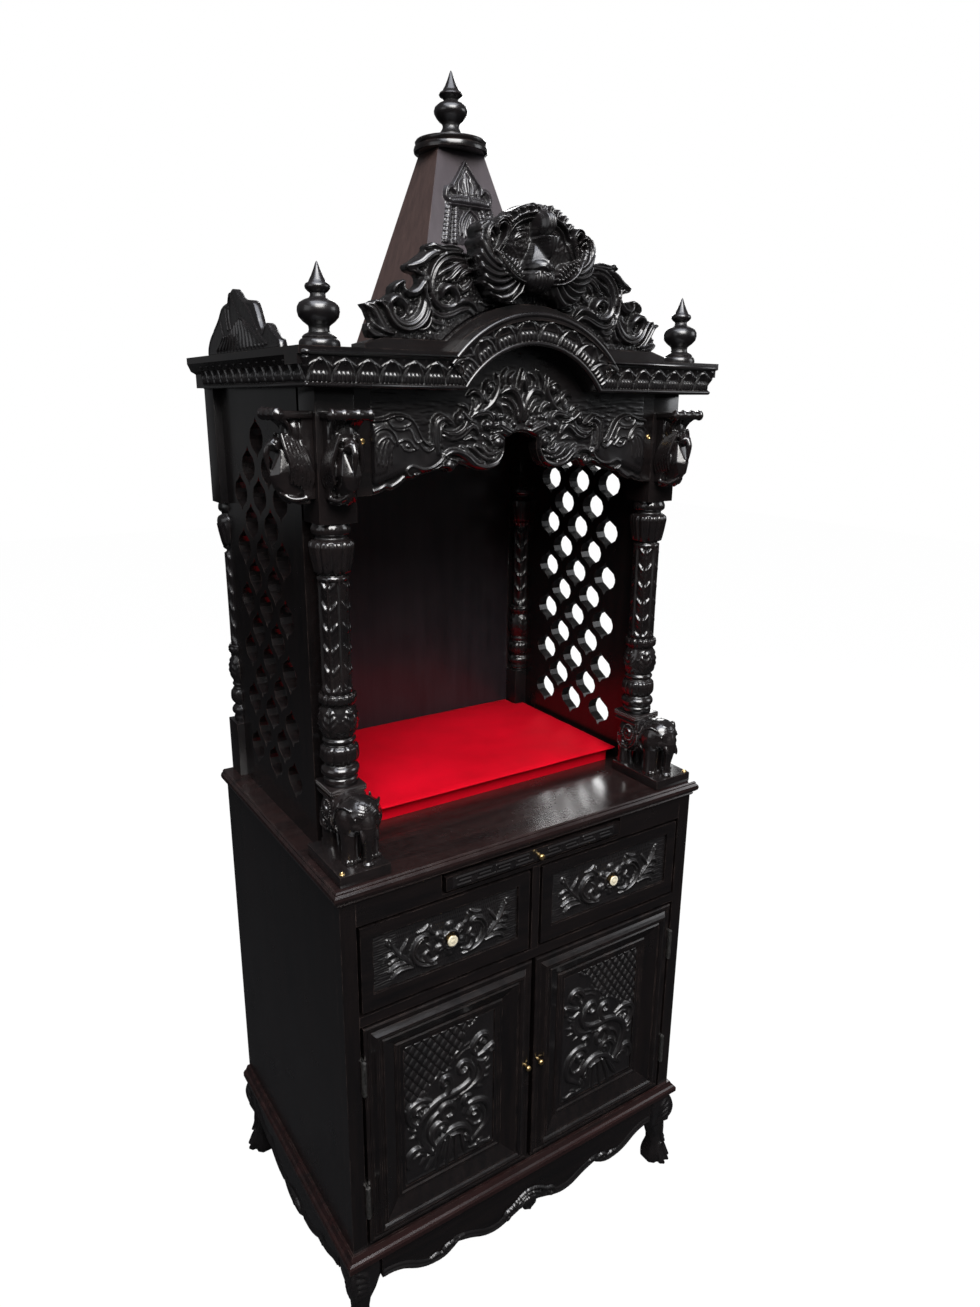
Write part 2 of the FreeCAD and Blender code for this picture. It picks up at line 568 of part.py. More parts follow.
# bird brackets on the post heads
# side view: distance from the post, height above the lower end
birdRows = [(0, 0), (10, 3), (24, 6), (38, 14), (48, 30), (52, 46), (51, 58), (47, 68), (50, 77), (47, 86), (38, 90),
            (34, 95), (38, 101), (46, 101), (52, 103), (55, 109), (52, 115), (44, 116), (20, 116), (8, 108), (0, 92)]
birdLow = blockLow + 26
birdOutline = [(d, birdLow + h) for d, h in smooth(birdRows, 2)]
birdHalf = 23.0
frontBird = plateYZ([(valanceFront - d, z) for d, z in birdOutline], postX - birdHalf, postX + birdHalf)
sideBird = plateXZ([(postX + postHalf + d, z) for d, z in birdOutline], postY - birdHalf, postY + birdHalf)
parts["brackets"] = Part.makeCompound([frontBird, sideBird, mirror(frontBird), mirror(sideBird)])

os.makedirs("parts", exist_ok=True)
for name, shape in parts.items():
    for s in shape.Solids:
        if not s.isValid():
            print("not valid:", name)
    shape.exportStep("parts/" + name + ".step")
print(len(parts), "nodes")
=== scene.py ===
import bpy
import bmesh
import math
import numpy as np
from mathutils import Vector, Matrix


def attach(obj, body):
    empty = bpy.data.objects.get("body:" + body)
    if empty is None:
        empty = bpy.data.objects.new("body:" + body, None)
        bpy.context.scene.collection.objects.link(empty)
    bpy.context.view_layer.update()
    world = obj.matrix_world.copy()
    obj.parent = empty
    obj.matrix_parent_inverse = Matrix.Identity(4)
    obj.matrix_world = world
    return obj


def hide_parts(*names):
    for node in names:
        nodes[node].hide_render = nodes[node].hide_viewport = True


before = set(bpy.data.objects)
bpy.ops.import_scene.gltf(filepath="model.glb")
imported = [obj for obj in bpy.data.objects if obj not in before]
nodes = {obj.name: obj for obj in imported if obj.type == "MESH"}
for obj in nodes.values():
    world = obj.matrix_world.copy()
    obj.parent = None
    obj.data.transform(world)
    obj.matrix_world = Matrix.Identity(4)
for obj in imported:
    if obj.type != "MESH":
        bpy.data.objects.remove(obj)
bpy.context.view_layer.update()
mm = 0.001
print("frame loaded", len(nodes), "nodes")


# small helpers for meshes
def linked(name, data):
    obj = bpy.data.objects.new(name, data)
    bpy.context.scene.collection.objects.link(obj)
    return obj


def meshObject(name, verts, faces, smooth=True):
    mesh = bpy.data.meshes.new(name)
    verts = np.asarray(verts, dtype=np.float64) * mm
    mesh.from_pydata(verts.tolist(), [], [tuple(f) for f in faces])
    mesh.validate()
    for p in mesh.polygons:
        p.use_smooth = smooth
    return linked(name, mesh)


def quadMesh(name, verts, quads):
    # quick mesh from numpy arrays of points in mm and rows of four indices
    mesh = bpy.data.meshes.new(name)
    mesh.vertices.add(len(verts))
    mesh.vertices.foreach_set("co", (np.asarray(verts, dtype=np.float64) * mm).astype(np.float32).ravel())
    mesh.loops.add(4 * len(quads))
    mesh.loops.foreach_set("vertex_index", np.asarray(quads, dtype=np.int32).ravel())
    mesh.polygons.add(len(quads))
    mesh.polygons.foreach_set("loop_start", np.arange(len(quads), dtype=np.int32) * 4)
    mesh.update(calc_edges=True)
    mesh.polygons.foreach_set("use_smooth", [True] * len(quads))
    return linked(name, mesh)


def gridQuads(rows, columns, closed):
    # faces of a grid of points, closed joins the last column to the first
    j, i = np.meshgrid(np.arange(rows - 1), np.arange(columns if closed else columns - 1), indexing="ij")
    k = (i + 1) % columns
    quads = [j * columns + i, j * columns + k, (j + 1) * columns + k, (j + 1) * columns + i]
    return np.stack(quads, 2).reshape(-1, 4)


def joined(name, parts):
    # one object out of several meshes
    bm = bmesh.new()
    for p in parts:
        bm.from_mesh(p.data)
    mesh = bpy.data.meshes.new(name)
    bm.to_mesh(mesh)
    bm.free()
    for p in parts:
        bpy.data.objects.remove(p)
    return linked(name, mesh)


def placedCopy(obj, name, matrix):
    mesh = obj.data.copy()
    mesh.transform(matrix)
    if matrix.determinant() < 0:
        mesh.flip_normals()
    return linked(name, mesh)


acrossMiddle = Matrix.Scale(-1, 4, (1, 0, 0))


def mirroredCopy(obj, name):
    return placedCopy(obj, name, acrossMiddle)


def evaluatedMesh(obj):
    # mesh with the modifiers worked in
    graph = bpy.context.evaluated_depsgraph_get()
    return bpy.data.meshes.new_from_object(obj.evaluated_get(graph))


def mended(obj, merge=0.0, fill=False):
    # merges close points, closes open rims and turns the faces outward
    bm = bmesh.new()
    bm.from_mesh(obj.data)
    if merge:
        bmesh.ops.remove_doubles(bm, verts=bm.verts, dist=merge)
    rims = [e for e in bm.edges if e.is_boundary] if fill else []
    if rims:
        bmesh.ops.holes_fill(bm, edges=rims, sides=0)
    bmesh.ops.recalc_face_normals(bm, faces=bm.faces)
    bm.to_mesh(obj.data)
    bm.free()
    return obj


# carved pieces are thinned to these many triangles, flat parts first
triangleLimits = {
    "elephants": 110000, "birdBrackets": 85000, "cornicePetals": 86000, "frontPostsCarved": 90000,
    "crestBoard": 84000, "carvedLegs": 50000, "valanceCarving": 60000, "sideCrestCarving": 42000,
    "crestBird": 52000, "leftDoorCarving": 46000, "rightDoorCarving": 46000, "backPostsCarved": 32000,
    "leftDrawerCarving": 33000, "rightDrawerCarving": 33000}


def thinned(obj):
    limit = triangleLimits.get(obj.name)
    count = sum(len(p.vertices) - 2 for p in obj.data.polygons)
    if limit is None or count <= limit:
        return
    thin = obj.modifiers.new("thin", "DECIMATE")
    thin.ratio = limit / count
    mesh = evaluatedMesh(obj)
    obj.modifiers.clear()
    obj.data = mesh
    print("thinned", obj.name, count, "to", len(mesh.polygons))


def finish(obj, body, material):
    thinned(obj)
    obj.data.materials.clear()
    obj.data.materials.append(material)
    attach(obj, body)


def softEdges(obj, angle):
    obj.data.shade_smooth()
    obj.data.set_sharp_from_angle(angle=math.radians(angle))


def curvePoints(points, steps=6):
    # rounded line through the points
    p = np.asarray(points, dtype=float)
    if len(p) < 3:
        return p
    out = []
    for i in range(len(p) - 1):
        a, b = p[max(i - 1, 0)], p[i]
        c, d = p[i + 1], p[min(i + 2, len(p) - 1)]
        for s in range(steps):
            t = s / steps
            out.append(0.5 * (2 * b + (c - a) * t + (2 * a - 5 * b + 4 * c - d) * t * t
                              + (3 * b - a - 3 * c + d) * t ** 3))
    return np.array(out + [p[-1]])


# height fields: a grid of heights over a flat patch, carved by strokes
def patch(u0, u1, v0, v1, cell, ground=0.0):
    nu, nv = int(round((u1 - u0) / cell)) + 1, int(round((v1 - v0) / cell)) + 1
    us, vs = np.linspace(u0, u1, nu), np.linspace(v0, v1, nv)
    return {"u": us, "v": vs, "h": np.full((nv, nu), float(ground)), "base": float(ground)}


def window(g, lo, hi, reach):
    i0, i1 = np.searchsorted(g["u"], [lo[0] - reach, hi[0] + reach])
    j0, j1 = np.searchsorted(g["v"], [lo[1] - reach, hi[1] + reach])
    return slice(j0, j1), slice(i0, i1)


def alongLine(uu, vv, line, widths):
    # for each grid point: distance over width, signed side, place along the line
    best = np.full(uu.shape, 9.0)
    side = np.zeros(uu.shape)
    place = np.zeros(uu.shape)
    seg = np.diff(line, axis=0)
    lengths = np.maximum(np.hypot(seg[:, 0], seg[:, 1]), 1e-6)
    start = np.concatenate([[0], np.cumsum(lengths)])
    total = start[-1]
    for k in range(len(seg)):
        du, dv = uu - line[k, 0], vv - line[k, 1]
        t = np.clip((du * seg[k, 0] + dv * seg[k, 1]) / lengths[k] ** 2, 0, 1)
        eu, ev = du - t * seg[k, 0], dv - t * seg[k, 1]
        d = np.hypot(eu, ev)
        w = widths[k] + (widths[k + 1] - widths[k]) * t
        s = d / np.maximum(w, 0.05)
        better = s < best
        best[better] = s[better]
        sgn = np.sign(seg[k, 0] * dv - seg[k, 1] * du)
        side[better] = sgn[better]
        place[better] = ((start[k] + t * lengths[k]) / total)[better]
    return best, side, place, total


def spread(values, n):
    # widths or heights given at even stations, spread over n points
    v = np.atleast_1d(np.asarray(values, dtype=float))
    if len(v) == 1:
        return np.full(n, v[0])
    return np.interp(np.linspace(0, 1, n), np.linspace(0, 1, len(v)), v)


def profileOf(kind, s, side, place, total):
    # cross section of a stroke, s runs from 0 at its line to 1 at its edge
    r = np.sqrt(np.clip(1 - s * s, 0, 1))
    if kind == "vein":
        return r * (1 - 0.45 * np.exp(-(s / 0.2) ** 2))
    if kind == "rib":
        return r * (0.86 + 0.14 * np.cos(2 * math.pi * 1.5 * s))
    if kind == "leaf":
        lines = np.cos(2 * math.pi * (place * total / 3.4 - s * 0.9))
        return r ** 0.8 * (0.88 + 0.12 * lines) * (1 - 0.35 * np.exp(-(s / 0.16) ** 2))
    if kind == "ribbon":
        shell = np.clip(1 - s ** 6, 0, 1) ** 0.5
        return shell * (0.8 + 0.2 * s * side) - 0.26 * np.exp(-((s * side + 0.45) / 0.16) ** 2) * shell
    if kind == "flat":
        return np.sqrt(np.clip(1 - s ** 8, 0, 1))
    return r


def stroke(g, points, width, height, kind="round", straight=False):
    line = np.asarray(points, dtype=float) if straight else curvePoints(points)
    widths, heights = spread(width, len(line)), spread(height, len(line))
    win = window(g, line.min(0), line.max(0), widths.max() + 0.5)
    uu, vv = np.meshgrid(g["u"][win[1]], g["v"][win[0]])
    if uu.size == 0:
        return
    s, side, place, total = alongLine(uu, vv, line, widths)
    h = np.interp(place, np.linspace(0, 1, len(line)), heights)
    new = g["base"] + h * profileOf(kind, s, side, place, total)
    block = g["h"][win]
    g["h"][win] = np.where((s < 1) & (new > block), new, block)


def carve(g, strokes, signs=(1, -1), slim=1.0, tall=1.0, middle=(0, 0)):
    # strokes of kind, points, width and height, the second sign gives the mirror image
    for kind, points, width, height in strokes:
        for sign in signs:
            line = [(middle[0] + sign * a, middle[1] + b) for a, b in points]
            stroke(g, line, slim * np.array(width), tall * np.array(height), kind)


def mirroredOutline(half):
    # whole outline out of its right half, which starts on the middle line
    return [(-a, b) for a, b in half[::-1]] + [tuple(p) for p in half[1:]]


def insideOf(poly, uu, vv):
    inside = np.zeros(uu.shape, bool)
    n = len(poly)
    for i in range(n):
        (x0, y0), (x1, y1) = poly[i], poly[(i + 1) % n]
        if y0 == y1:
            continue
        hit = ((y0 > vv) != (y1 > vv)) & (uu < (x1 - x0) * (vv - y0) / (y1 - y0) + x0)
        inside ^= hit
    return inside


def edgeDistance(poly, uu, vv, closed=True):
    # distance to the outline and the nearest point on it
    best = np.full(uu.shape, 1e9)
    nu, nv = np.zeros(uu.shape), np.zeros(uu.shape)
    n = len(poly)
    for i in range(n if closed else n - 1):
        (x0, y0), (x1, y1) = poly[i], poly[(i + 1) % n]
        dx, dy = x1 - x0, y1 - y0
        ll = max(dx * dx + dy * dy, 1e-9)
        t = np.clip(((uu - x0) * dx + (vv - y0) * dy) / ll, 0, 1)
        px, py = x0 + t * dx, y0 + t * dy
        d = np.hypot(uu - px, vv - py)
        b = d < best
        best[b], nu[b], nv[b] = d[b], px[b], py[b]
    return best, nu, nv


def cushion(g, outline, height, radius):
    # raised shape with rounded edges inside a closed outline
    poly = curvePoints(list(outline) + [outline[0]], 4)[:-1]
    win = window(g, poly.min(0), poly.max(0), 1.0)
    uu, vv = np.meshgrid(g["u"][win[1]], g["v"][win[0]])
    inside = insideOf(poly, uu, vv)
    d, _, _ = edgeDistance(poly, uu, vv)
    k = np.clip(d / radius, 0, 1)
    new = g["base"] + height * np.sqrt(np.clip(1 - (1 - k) ** 2, 0, 1))
    block = g["h"][win]
    g["h"][win] = np.where(inside & (new > block), new, block)


def softNoise(shape, du, dv, seed):
    # smooth random values, one knot each du by dv grid steps
    rng = np.random.default_rng(seed)
    nv, nu = shape
    a = rng.uniform(-1, 1, (int(nv / dv) + 3, int(nu / du) + 3))
    yy, xx = np.arange(nv) / dv, np.arange(nu) / du
    y0, x0 = yy.astype(int), xx.astype(int)
    fy, fx = (yy - y0)[:, None], (xx - x0)[None, :]
    fy, fx = fy * fy * (3 - 2 * fy), fx * fx * (3 - 2 * fx)
    top = a[y0][:, x0] * (1 - fx) + a[y0][:, x0 + 1] * fx
    low = a[y0 + 1][:, x0] * (1 - fx) + a[y0 + 1][:, x0 + 1] * fx
    return top * (1 - fy) + low * fy


def softened(h):
    # light smoothing, so that cut corners look sanded
    p = np.pad(h, 1, mode="edge")
    return 0.5 * h + 0.125 * (p[:-2, 1:-1] + p[2:, 1:-1] + p[1:-1, :-2] + p[1:-1, 2:])


def gridCells(cells):
    # the points in use, those of them at the border, and the faces between them
    nv, nu = cells.shape[0] + 1, cells.shape[1] + 1
    full = np.zeros((nv + 1, nu + 1), bool)
    full[1:nv, 1:nu] = cells
    corners = (full[:-1, :-1], full[1:, :-1], full[:-1, 1:], full[1:, 1:])
    used = np.logical_or.reduce(corners)
    index = np.full((nv, nu), -1)
    index[used] = np.arange(used.sum())
    j, i = np.nonzero(cells)
    quads = np.stack([index[j, i], index[j, i + 1], index[j + 1, i + 1], index[j + 1, i]], 1)
    return used, used & ~np.logical_and.reduce(corners), quads


def roughen(g, layers):
    # tool marks: layers of strength, knot distances across and up, and seed
    g["h"] += sum(strength * softNoise(g["h"].shape, du, dv, seed) for strength, du, dv, seed in layers)


def sheetMesh(name, g, place, keep=None, tuck=1.0):
    # carved skin whose border dips behind the board that carries it
    h = g["h"].copy()
    keep = np.ones(h.shape, bool) if keep is None else keep
    used, border, quads = gridCells(keep[:-1, :-1] & keep[1:, :-1] & keep[:-1, 1:] & keep[1:, 1:])
    h[border] = -tuck
    uu, vv = np.meshgrid(g["u"], g["v"])
    return quadMesh(name, place(uu[used], vv[used], h[used]), quads)


def boardMesh(name, g, outline, placeFront, placeBack, round=2.0, drop=1.5, backRelief=0.0):
    # closed carved board: the carved front, the cut edge and the back
    poly = np.asarray(outline, dtype=float)
    uu, vv = np.meshgrid(g["u"], g["v"])
    cu, cv = (uu[:-1, :-1] + uu[1:, 1:]) / 2, (vv[:-1, :-1] + vv[1:, 1:]) / 2
    used, border, quads = gridCells(insideOf(poly, cu, cv))
    d, pu, pv = edgeDistance(poly, uu, vv)
    h = g["h"] - drop * np.clip(1 - d / round, 0, 1) ** 2
    uu, vv = np.where(border, pu, uu), np.where(border, pv, vv)
    h = np.where(border, g["h"] - drop, h)
    n = int(used.sum())
    front = placeFront(uu[used], vv[used], h[used])
    back = placeBack(uu[used], vv[used], backRelief * h[used])
    edges = {}
    for q in quads.tolist():
        for a, b in ((q[0], q[1]), (q[1], q[2]), (q[2], q[3]), (q[3], q[0])):
            if (b, a) in edges:
                del edges[(b, a)]
            else:
                edges[(a, b)] = 1
    walls = np.array([(b, a, a + n, b + n) for a, b in edges], dtype=int)
    obj = quadMesh(name, np.vstack([front, back]), np.vstack([quads, quads[:, ::-1] + n, walls]))
    return mended(obj, 0.00001)


# where a patch stands: facing the front, facing a side or lying flat
def frontOf(y, rise=0.0):
    return lambda u, v, h: np.stack([u, y - h, v + rise], 1)


def sideOf(x, outward=1, shift=0.0):
    return lambda u, v, h: np.stack([x + outward * h, u + shift, v], 1)


def topOf(z):
    return lambda u, v, h: np.stack([u, v, z + h], 1)


def lathe(name, centre, profile, segments, shape=None):
    # turned piece round an upright axis, profile of (radius, z)
    rows = np.asarray(profile, dtype=float)
    ang = np.arange(segments) * 2 * math.pi / segments
    rr, aa = np.repeat(rows[:, :1], segments, 1), np.repeat(ang[None, :], len(rows), 0)
    zz = np.repeat(rows[:, 1:], segments, 1)
    if shape is not None:
        rr = shape(rr, aa, zz)
    verts = np.stack([centre[0] + rr * np.cos(aa), centre[1] + rr * np.sin(aa), zz], 2).reshape(-1, 3)
    return mended(quadMesh(name, verts, gridQuads(len(rows), segments, True)), 0.00002, True)


print("helpers ready")


# shader groups shared by the finishes
def newGroup(name, inputs, outputs):
    tree = bpy.data.node_groups.new(name, "ShaderNodeTree")
    for label, kind, value in inputs:
        s = tree.interface.new_socket(label, in_out="INPUT", socket_type=kind)
        if value is not None:
            s.default_value = value
    for label, kind in outputs:
        tree.interface.new_socket(label, in_out="OUTPUT", socket_type=kind)
    return tree, tree.nodes.new("NodeGroupInput"), tree.nodes.new("NodeGroupOutput")


def feed(tree, socket, value):
    # a socket takes a link or a plain value
    if isinstance(value, bpy.types.NodeSocket):
        tree.links.new(value, socket)
    elif value is not None:
        socket.default_value = value


def newNode(tree, kind, values):
    node = tree.nodes.new(kind)
    for label, value in values.items():
        feed(tree, node.inputs[label], value)
    return node


def mathNode(tree, operation, a, b, clamp=False):
    node = newNode(tree, "ShaderNodeMath", {0: a, 1: b})
    node.operation = operation
    node.use_clamp = clamp
    return node.outputs[0]


def noiseNode(tree, vector, scale, detail=4.0, rough=0.55):
    values = {"Vector": vector, "Scale": scale, "Detail": detail, "Roughness": rough}
    return newNode(tree, "ShaderNodeTexNoise", values).outputs["Fac"]


def rangeNode(tree, value, a, b, c=0.0, d=1.0):
    values = {"Value": value, "From Min": a, "From Max": b, "To Min": c, "To Max": d}
    return newNode(tree, "ShaderNodeMapRange", values).outputs["Result"]


def mixColor(tree, fac, a, b):
    node = tree.nodes.new("ShaderNodeMix")
    node.data_type = "RGBA"
    for index, value in ((0, fac), (6, a), (7, b)):
        feed(tree, node.inputs[index], value)
    return node.outputs[2]


def makeGrainGroup():
    # long streaks of wood grain with pores, drawn on the vector that comes in
    tree, gin, gout = newGroup("woodGrain", [
        ("Vector", "NodeSocketVector", None), ("Scale", "NodeSocketFloat", 60.0),
        ("Dark", "NodeSocketColor", (0.01, 0.008, 0.007, 1)),
        ("Light", "NodeSocketColor", (0.03, 0.02, 0.016, 1)),
        ("Contrast", "NodeSocketFloat", 1.0)], [("Color", "NodeSocketColor"), ("Height", "NodeSocketFloat")])
    vec = gin.outputs["Vector"]
    broad = noiseNode(tree, vec, gin.outputs["Scale"], 3.0)
    fineScale = mathNode(tree, "MULTIPLY", gin.outputs["Scale"], 4.5)
    fine = noiseNode(tree, vec, fineScale, 5.0, 0.65)
    most, rest = mathNode(tree, "MULTIPLY", broad, 0.6), mathNode(tree, "MULTIPLY", fine, 0.4)
    blend = mathNode(tree, "ADD", most, rest)
    fac = rangeNode(tree, blend, 0.36, 0.64)
    fac = mathNode(tree, "MULTIPLY", fac, gin.outputs["Contrast"], clamp=True)
    tree.links.new(mixColor(tree, fac, gin.outputs["Dark"], gin.outputs["Light"]), gout.inputs["Color"])
    tree.links.new(fine, gout.inputs["Height"])
    return tree


def makeWearGroup():
    # mask of the proud edges, broken up by noise
    tree, gin, gout = newGroup("edgeWear", [
        ("Vector", "NodeSocketVector", None), ("Radius", "NodeSocketFloat", 0.002),
        ("Amount", "NodeSocketFloat", 1.0)], [("Mask", "NodeSocketFloat")])
    bevel = tree.nodes.new("ShaderNodeBevel")
    bevel.samples = 4
    tree.links.new(gin.outputs["Radius"], bevel.inputs["Radius"])
    geo = tree.nodes.new("ShaderNodeNewGeometry")
    dot = tree.nodes.new("ShaderNodeVectorMath")
    dot.operation = "DOT_PRODUCT"
    tree.links.new(bevel.outputs[0], dot.inputs[0])
    tree.links.new(geo.outputs["Normal"], dot.inputs[1])
    edge = rangeNode(tree, dot.outputs["Value"], 0.99, 0.86)
    patchy = rangeNode(tree, noiseNode(tree, gin.outputs["Vector"], 38.0, 4.0), 0.42, 0.68)
    mask = mathNode(tree, "MULTIPLY", edge, patchy)
    mask = mathNode(tree, "MULTIPLY", mask, gin.outputs["Amount"], clamp=True)
    tree.links.new(mask, gout.inputs["Mask"])
    return tree


def makeDustGroup():
    # thin pale dust on what faces up
    tree, gin, gout = newGroup("settledDust", [
        ("Vector", "NodeSocketVector", None), ("Amount", "NodeSocketFloat", 0.1)],
        [("Mask", "NodeSocketFloat")])
    geo = tree.nodes.new("ShaderNodeNewGeometry")
    sep = tree.nodes.new("ShaderNodeSeparateXYZ")
    tree.links.new(geo.outputs["Normal"], sep.inputs[0])
    up = rangeNode(tree, sep.outputs["Z"], 0.3, 1.0)
    spots = rangeNode(tree, noiseNode(tree, gin.outputs["Vector"], 90.0, 6.0, 0.7), 0.4, 0.75)
    mask = mathNode(tree, "MULTIPLY", up, spots)
    mask = mathNode(tree, "MULTIPLY", mask, gin.outputs["Amount"], clamp=True)
    tree.links.new(mask, gout.inputs["Mask"])
    return tree


def makeCreviceGroup():
    # mask of the cut corners: it paints shade into their colour, and makes them rougher where polish doesn't
    # reach
    tree, gin, gout = newGroup("creviceShade", [
        ("Low", "NodeSocketFloat", 0.43), ("High", "NodeSocketFloat", 0.495),
        ("Amount", "NodeSocketFloat", 1.0)],
        [("Mask", "NodeSocketFloat")])
    geo = tree.nodes.new("ShaderNodeNewGeometry")
    deep = rangeNode(tree, geo.outputs["Pointiness"], gin.outputs["Low"], gin.outputs["High"], 1.0, 0.0)
    mask = mathNode(tree, "MULTIPLY", deep, gin.outputs["Amount"], clamp=True)
    tree.links.new(mask, gout.inputs["Mask"])
    return tree


grainGroup, wearGroup, dustGroup = makeGrainGroup(), makeWearGroup(), makeDustGroup()
creviceGroup = makeCreviceGroup()


def groupNode(tree, group, values):
    node = tree.nodes.new("ShaderNodeGroup")
    node.node_tree = group
    for label, value in values.items():
        feed(tree, node.inputs[label], value)
    return node


def startMaterial(name):
    mat = bpy.data.materials.new(name)
    mat.use_nodes = True
    tree = mat.node_tree
    tree.nodes.clear()
    out = tree.nodes.new("ShaderNodeOutputMaterial")
    shader = tree.nodes.new("ShaderNodeBsdfPrincipled")
    tree.links.new(shader.outputs[0], out.inputs[0])
    coord = tree.nodes.new("ShaderNodeTexCoord")
    return mat, tree, shader, coord.outputs["Object"]


def bumpOf(tree, height, strength, distance):
    values = {"Strength": strength, "Distance": distance, "Height": height}
    return newNode(tree, "ShaderNodeBump", values).outputs[0]


def dress(tree, shader, values):
    for label, value in values.items():
        feed(tree, shader.inputs[label], value)


def woodMaterial(name, look):
    # polished dark wood, grain along the stated axis
    mat, tree, shader, coord = startMaterial(name)
    mapping = newNode(tree, "ShaderNodeMapping", {"Vector": coord, "Scale": look["stretch"]})
    grain = groupNode(tree, grainGroup, {
        "Vector": mapping.outputs[0], "Scale": look["scale"], "Dark": look["dark"], "Light": look["light"],
        "Contrast": look["contrast"]})
    wear = groupNode(tree, wearGroup, {"Vector": coord, "Radius": look["wearRadius"], "Amount": look["wear"]})
    dust = groupNode(tree, dustGroup, {"Vector": coord, "Amount": look["dust"]}).outputs["Mask"]
    crevice = groupNode(tree, creviceGroup, {"Amount": look["crevice"]}).outputs["Mask"]
    base = mixColor(tree, wear.outputs["Mask"], grain.outputs["Color"], look["worn"])
    base = mixColor(tree, dust, base, look["dustTone"])
    # painted shade: the cut corners are darkened towards the crevice colour, and made rougher below
    base = mixColor(tree, crevice, base, look["paintedCreviceShade"])
    smears = noiseNode(tree, coord, 14.0, 5.0, 0.6)
    rough = rangeNode(tree, smears, 0.3, 0.7, look["roughLow"], look["roughHigh"])
    rough = mathNode(tree, "ADD", rough, mathNode(tree, "MULTIPLY", dust, 0.8))
    rough = mathNode(tree, "ADD", rough, mathNode(tree, "MULTIPLY", crevice, 0.4), clamp=True)
    dress(tree, shader, {
        "Base Color": base, "Roughness": rough, "Specular IOR Level": look["specular"],
        "Coat Weight": look["coat"], "Coat Roughness": look["coatRough"],
        "Normal": bumpOf(tree, grain.outputs["Height"], look["bump"], 0.0006)})
    return mat


darkLook = {
    "stretch": (1.0, 1.0, 0.08), "scale": 60.0, "contrast": 0.9, "bump": 0.12,
    "dark": (0.0024, 0.0021, 0.0023, 1), "light": (0.0065, 0.0045, 0.0043, 1),
    "worn": (0.10, 0.07, 0.06, 1), "wear": 0.45, "wearRadius": 0.0018,
    # the crevice colour on the next line is painted shade for the cut corners; crevice sets how much of it,
    # and of the added roughness, they get
    "dustTone": (0.16, 0.15, 0.145, 1), "dust": 0.03, "paintedCreviceShade": (0.0016, 0.0014, 0.0014, 1), "crevice": 0.0,
    "roughLow": 0.17, "roughHigh": 0.29, "specular": 0.48, "coat": 0.2, "coatRough": 0.16}
# carved finishes get painted shade and more roughness in their cut corners
carvedLook = darkLook | {
    "stretch": (0.3, 0.3, 0.3), "dark": (0.003, 0.0027, 0.003, 1), "light": (0.0075, 0.006, 0.0062, 1),
    "roughLow": 0.24, "roughHigh": 0.33, "specular": 0.55, "wear": 0.3, "crevice": 0.9}
darkUpright = woodMaterial("ebonyPolishUpright", darkLook)
darkAcross = woodMaterial("ebonyPolishAcross", darkLook | {"stretch": (0.08, 1.0, 1.0)})
darkDeep = woodMaterial("ebonyPolishDeep", darkLook | {"stretch": (1.0, 0.08, 1.0)})
carvedDark = woodMaterial("ebonyCarved", carvedLook)
carvedSoft = woodMaterial("ebonyRelief", carvedLook | {
    "roughLow": 0.31, "roughHigh": 0.41, "specular": 0.62, "coat": 0.1, "wear": 0.35})
carvedGloss = woodMaterial("ebonyTurned", carvedLook | {
    "dark": (0.004, 0.0034, 0.0036, 1), "light": (0.010, 0.0072, 0.007, 1), "roughLow": 0.16,
    "roughHigh": 0.26, "coat": 0.3, "coatRough": 0.12, "dust": 0.02, "crevice": 0.8})
topDark = woodMaterial("ebonyTabletop", darkLook | {
    "stretch": (0.06, 1.0, 1.0), "dark": (0.005, 0.0028, 0.0028, 1), "light": (0.015, 0.007, 0.0065, 1),
    "roughLow": 0.16, "roughHigh": 0.3, "coat": 0.4})
redBrown = woodMaterial("rosewoodBoards", darkLook | {
    "stretch": (1.0, 1.0, 0.035), "scale": 130.0, "dark": (0.034, 0.021, 0.019, 1),
    "light": (0.062, 0.038, 0.033, 1), "contrast": 0.8, "dust": 0.02, "bump": 0.2, "roughLow": 0.34,
    "roughHigh": 0.48})
greyBoard = woodMaterial("spireFrontBoard", darkLook | {
    "stretch": (1.0, 1.0, 0.05), "scale": 110.0, "dark": (0.030, 0.024, 0.027, 1),
    "light": (0.046, 0.037, 0.041, 1), "contrast": 0.6, "roughLow": 0.36, "roughHigh": 0.5})
redTint = woodMaterial("rosewoodEdges", darkLook | {
    "stretch": (0.06, 1.0, 1.0), "dark": (0.004, 0.0024, 0.0024, 1), "light": (0.016, 0.0062, 0.0058, 1),
    "contrast": 1.0, "roughLow": 0.2, "roughHigh": 0.32, "specular": 0.45, "coat": 0.25})
chamberBack = woodMaterial("chamberBoard", darkLook | {
    "dark": (0.007, 0.0064, 0.008, 1), "light": (0.015, 0.0125, 0.0155, 1), "roughLow": 0.3,
    "roughHigh": 0.42})
innerWood = woodMaterial("stainedInside", darkLook | {
    "stretch": (0.07, 1.0, 1.0), "dark": (0.018, 0.011, 0.008, 1), "light": (0.05, 0.028, 0.018, 1),
    "coat": 0.0, "roughLow": 0.5, "roughHigh": 0.65, "wear": 0.0})


def metalMaterial(name, look):
    mat, tree, shader, coord = startMaterial(name)
    spots = noiseNode(tree, coord, look["scale"], 5.0, 0.6)
    fac = rangeNode(tree, spots, 0.35, 0.7)
    wear = groupNode(tree, wearGroup, {"Vector": coord, "Radius": 0.0008, "Amount": 0.6})
    base = mixColor(tree, fac, look["dark"], look["light"])
    dress(tree, shader, {
        "Base Color": mixColor(tree, wear.outputs["Mask"], base, look["edge"]),
        "Roughness": rangeNode(tree, spots, 0.3, 0.7, look["roughLow"], look["roughHigh"]),
        "Metallic": 1.0, "Normal": bumpOf(tree, spots, 0.08, 0.0003)})
    return mat


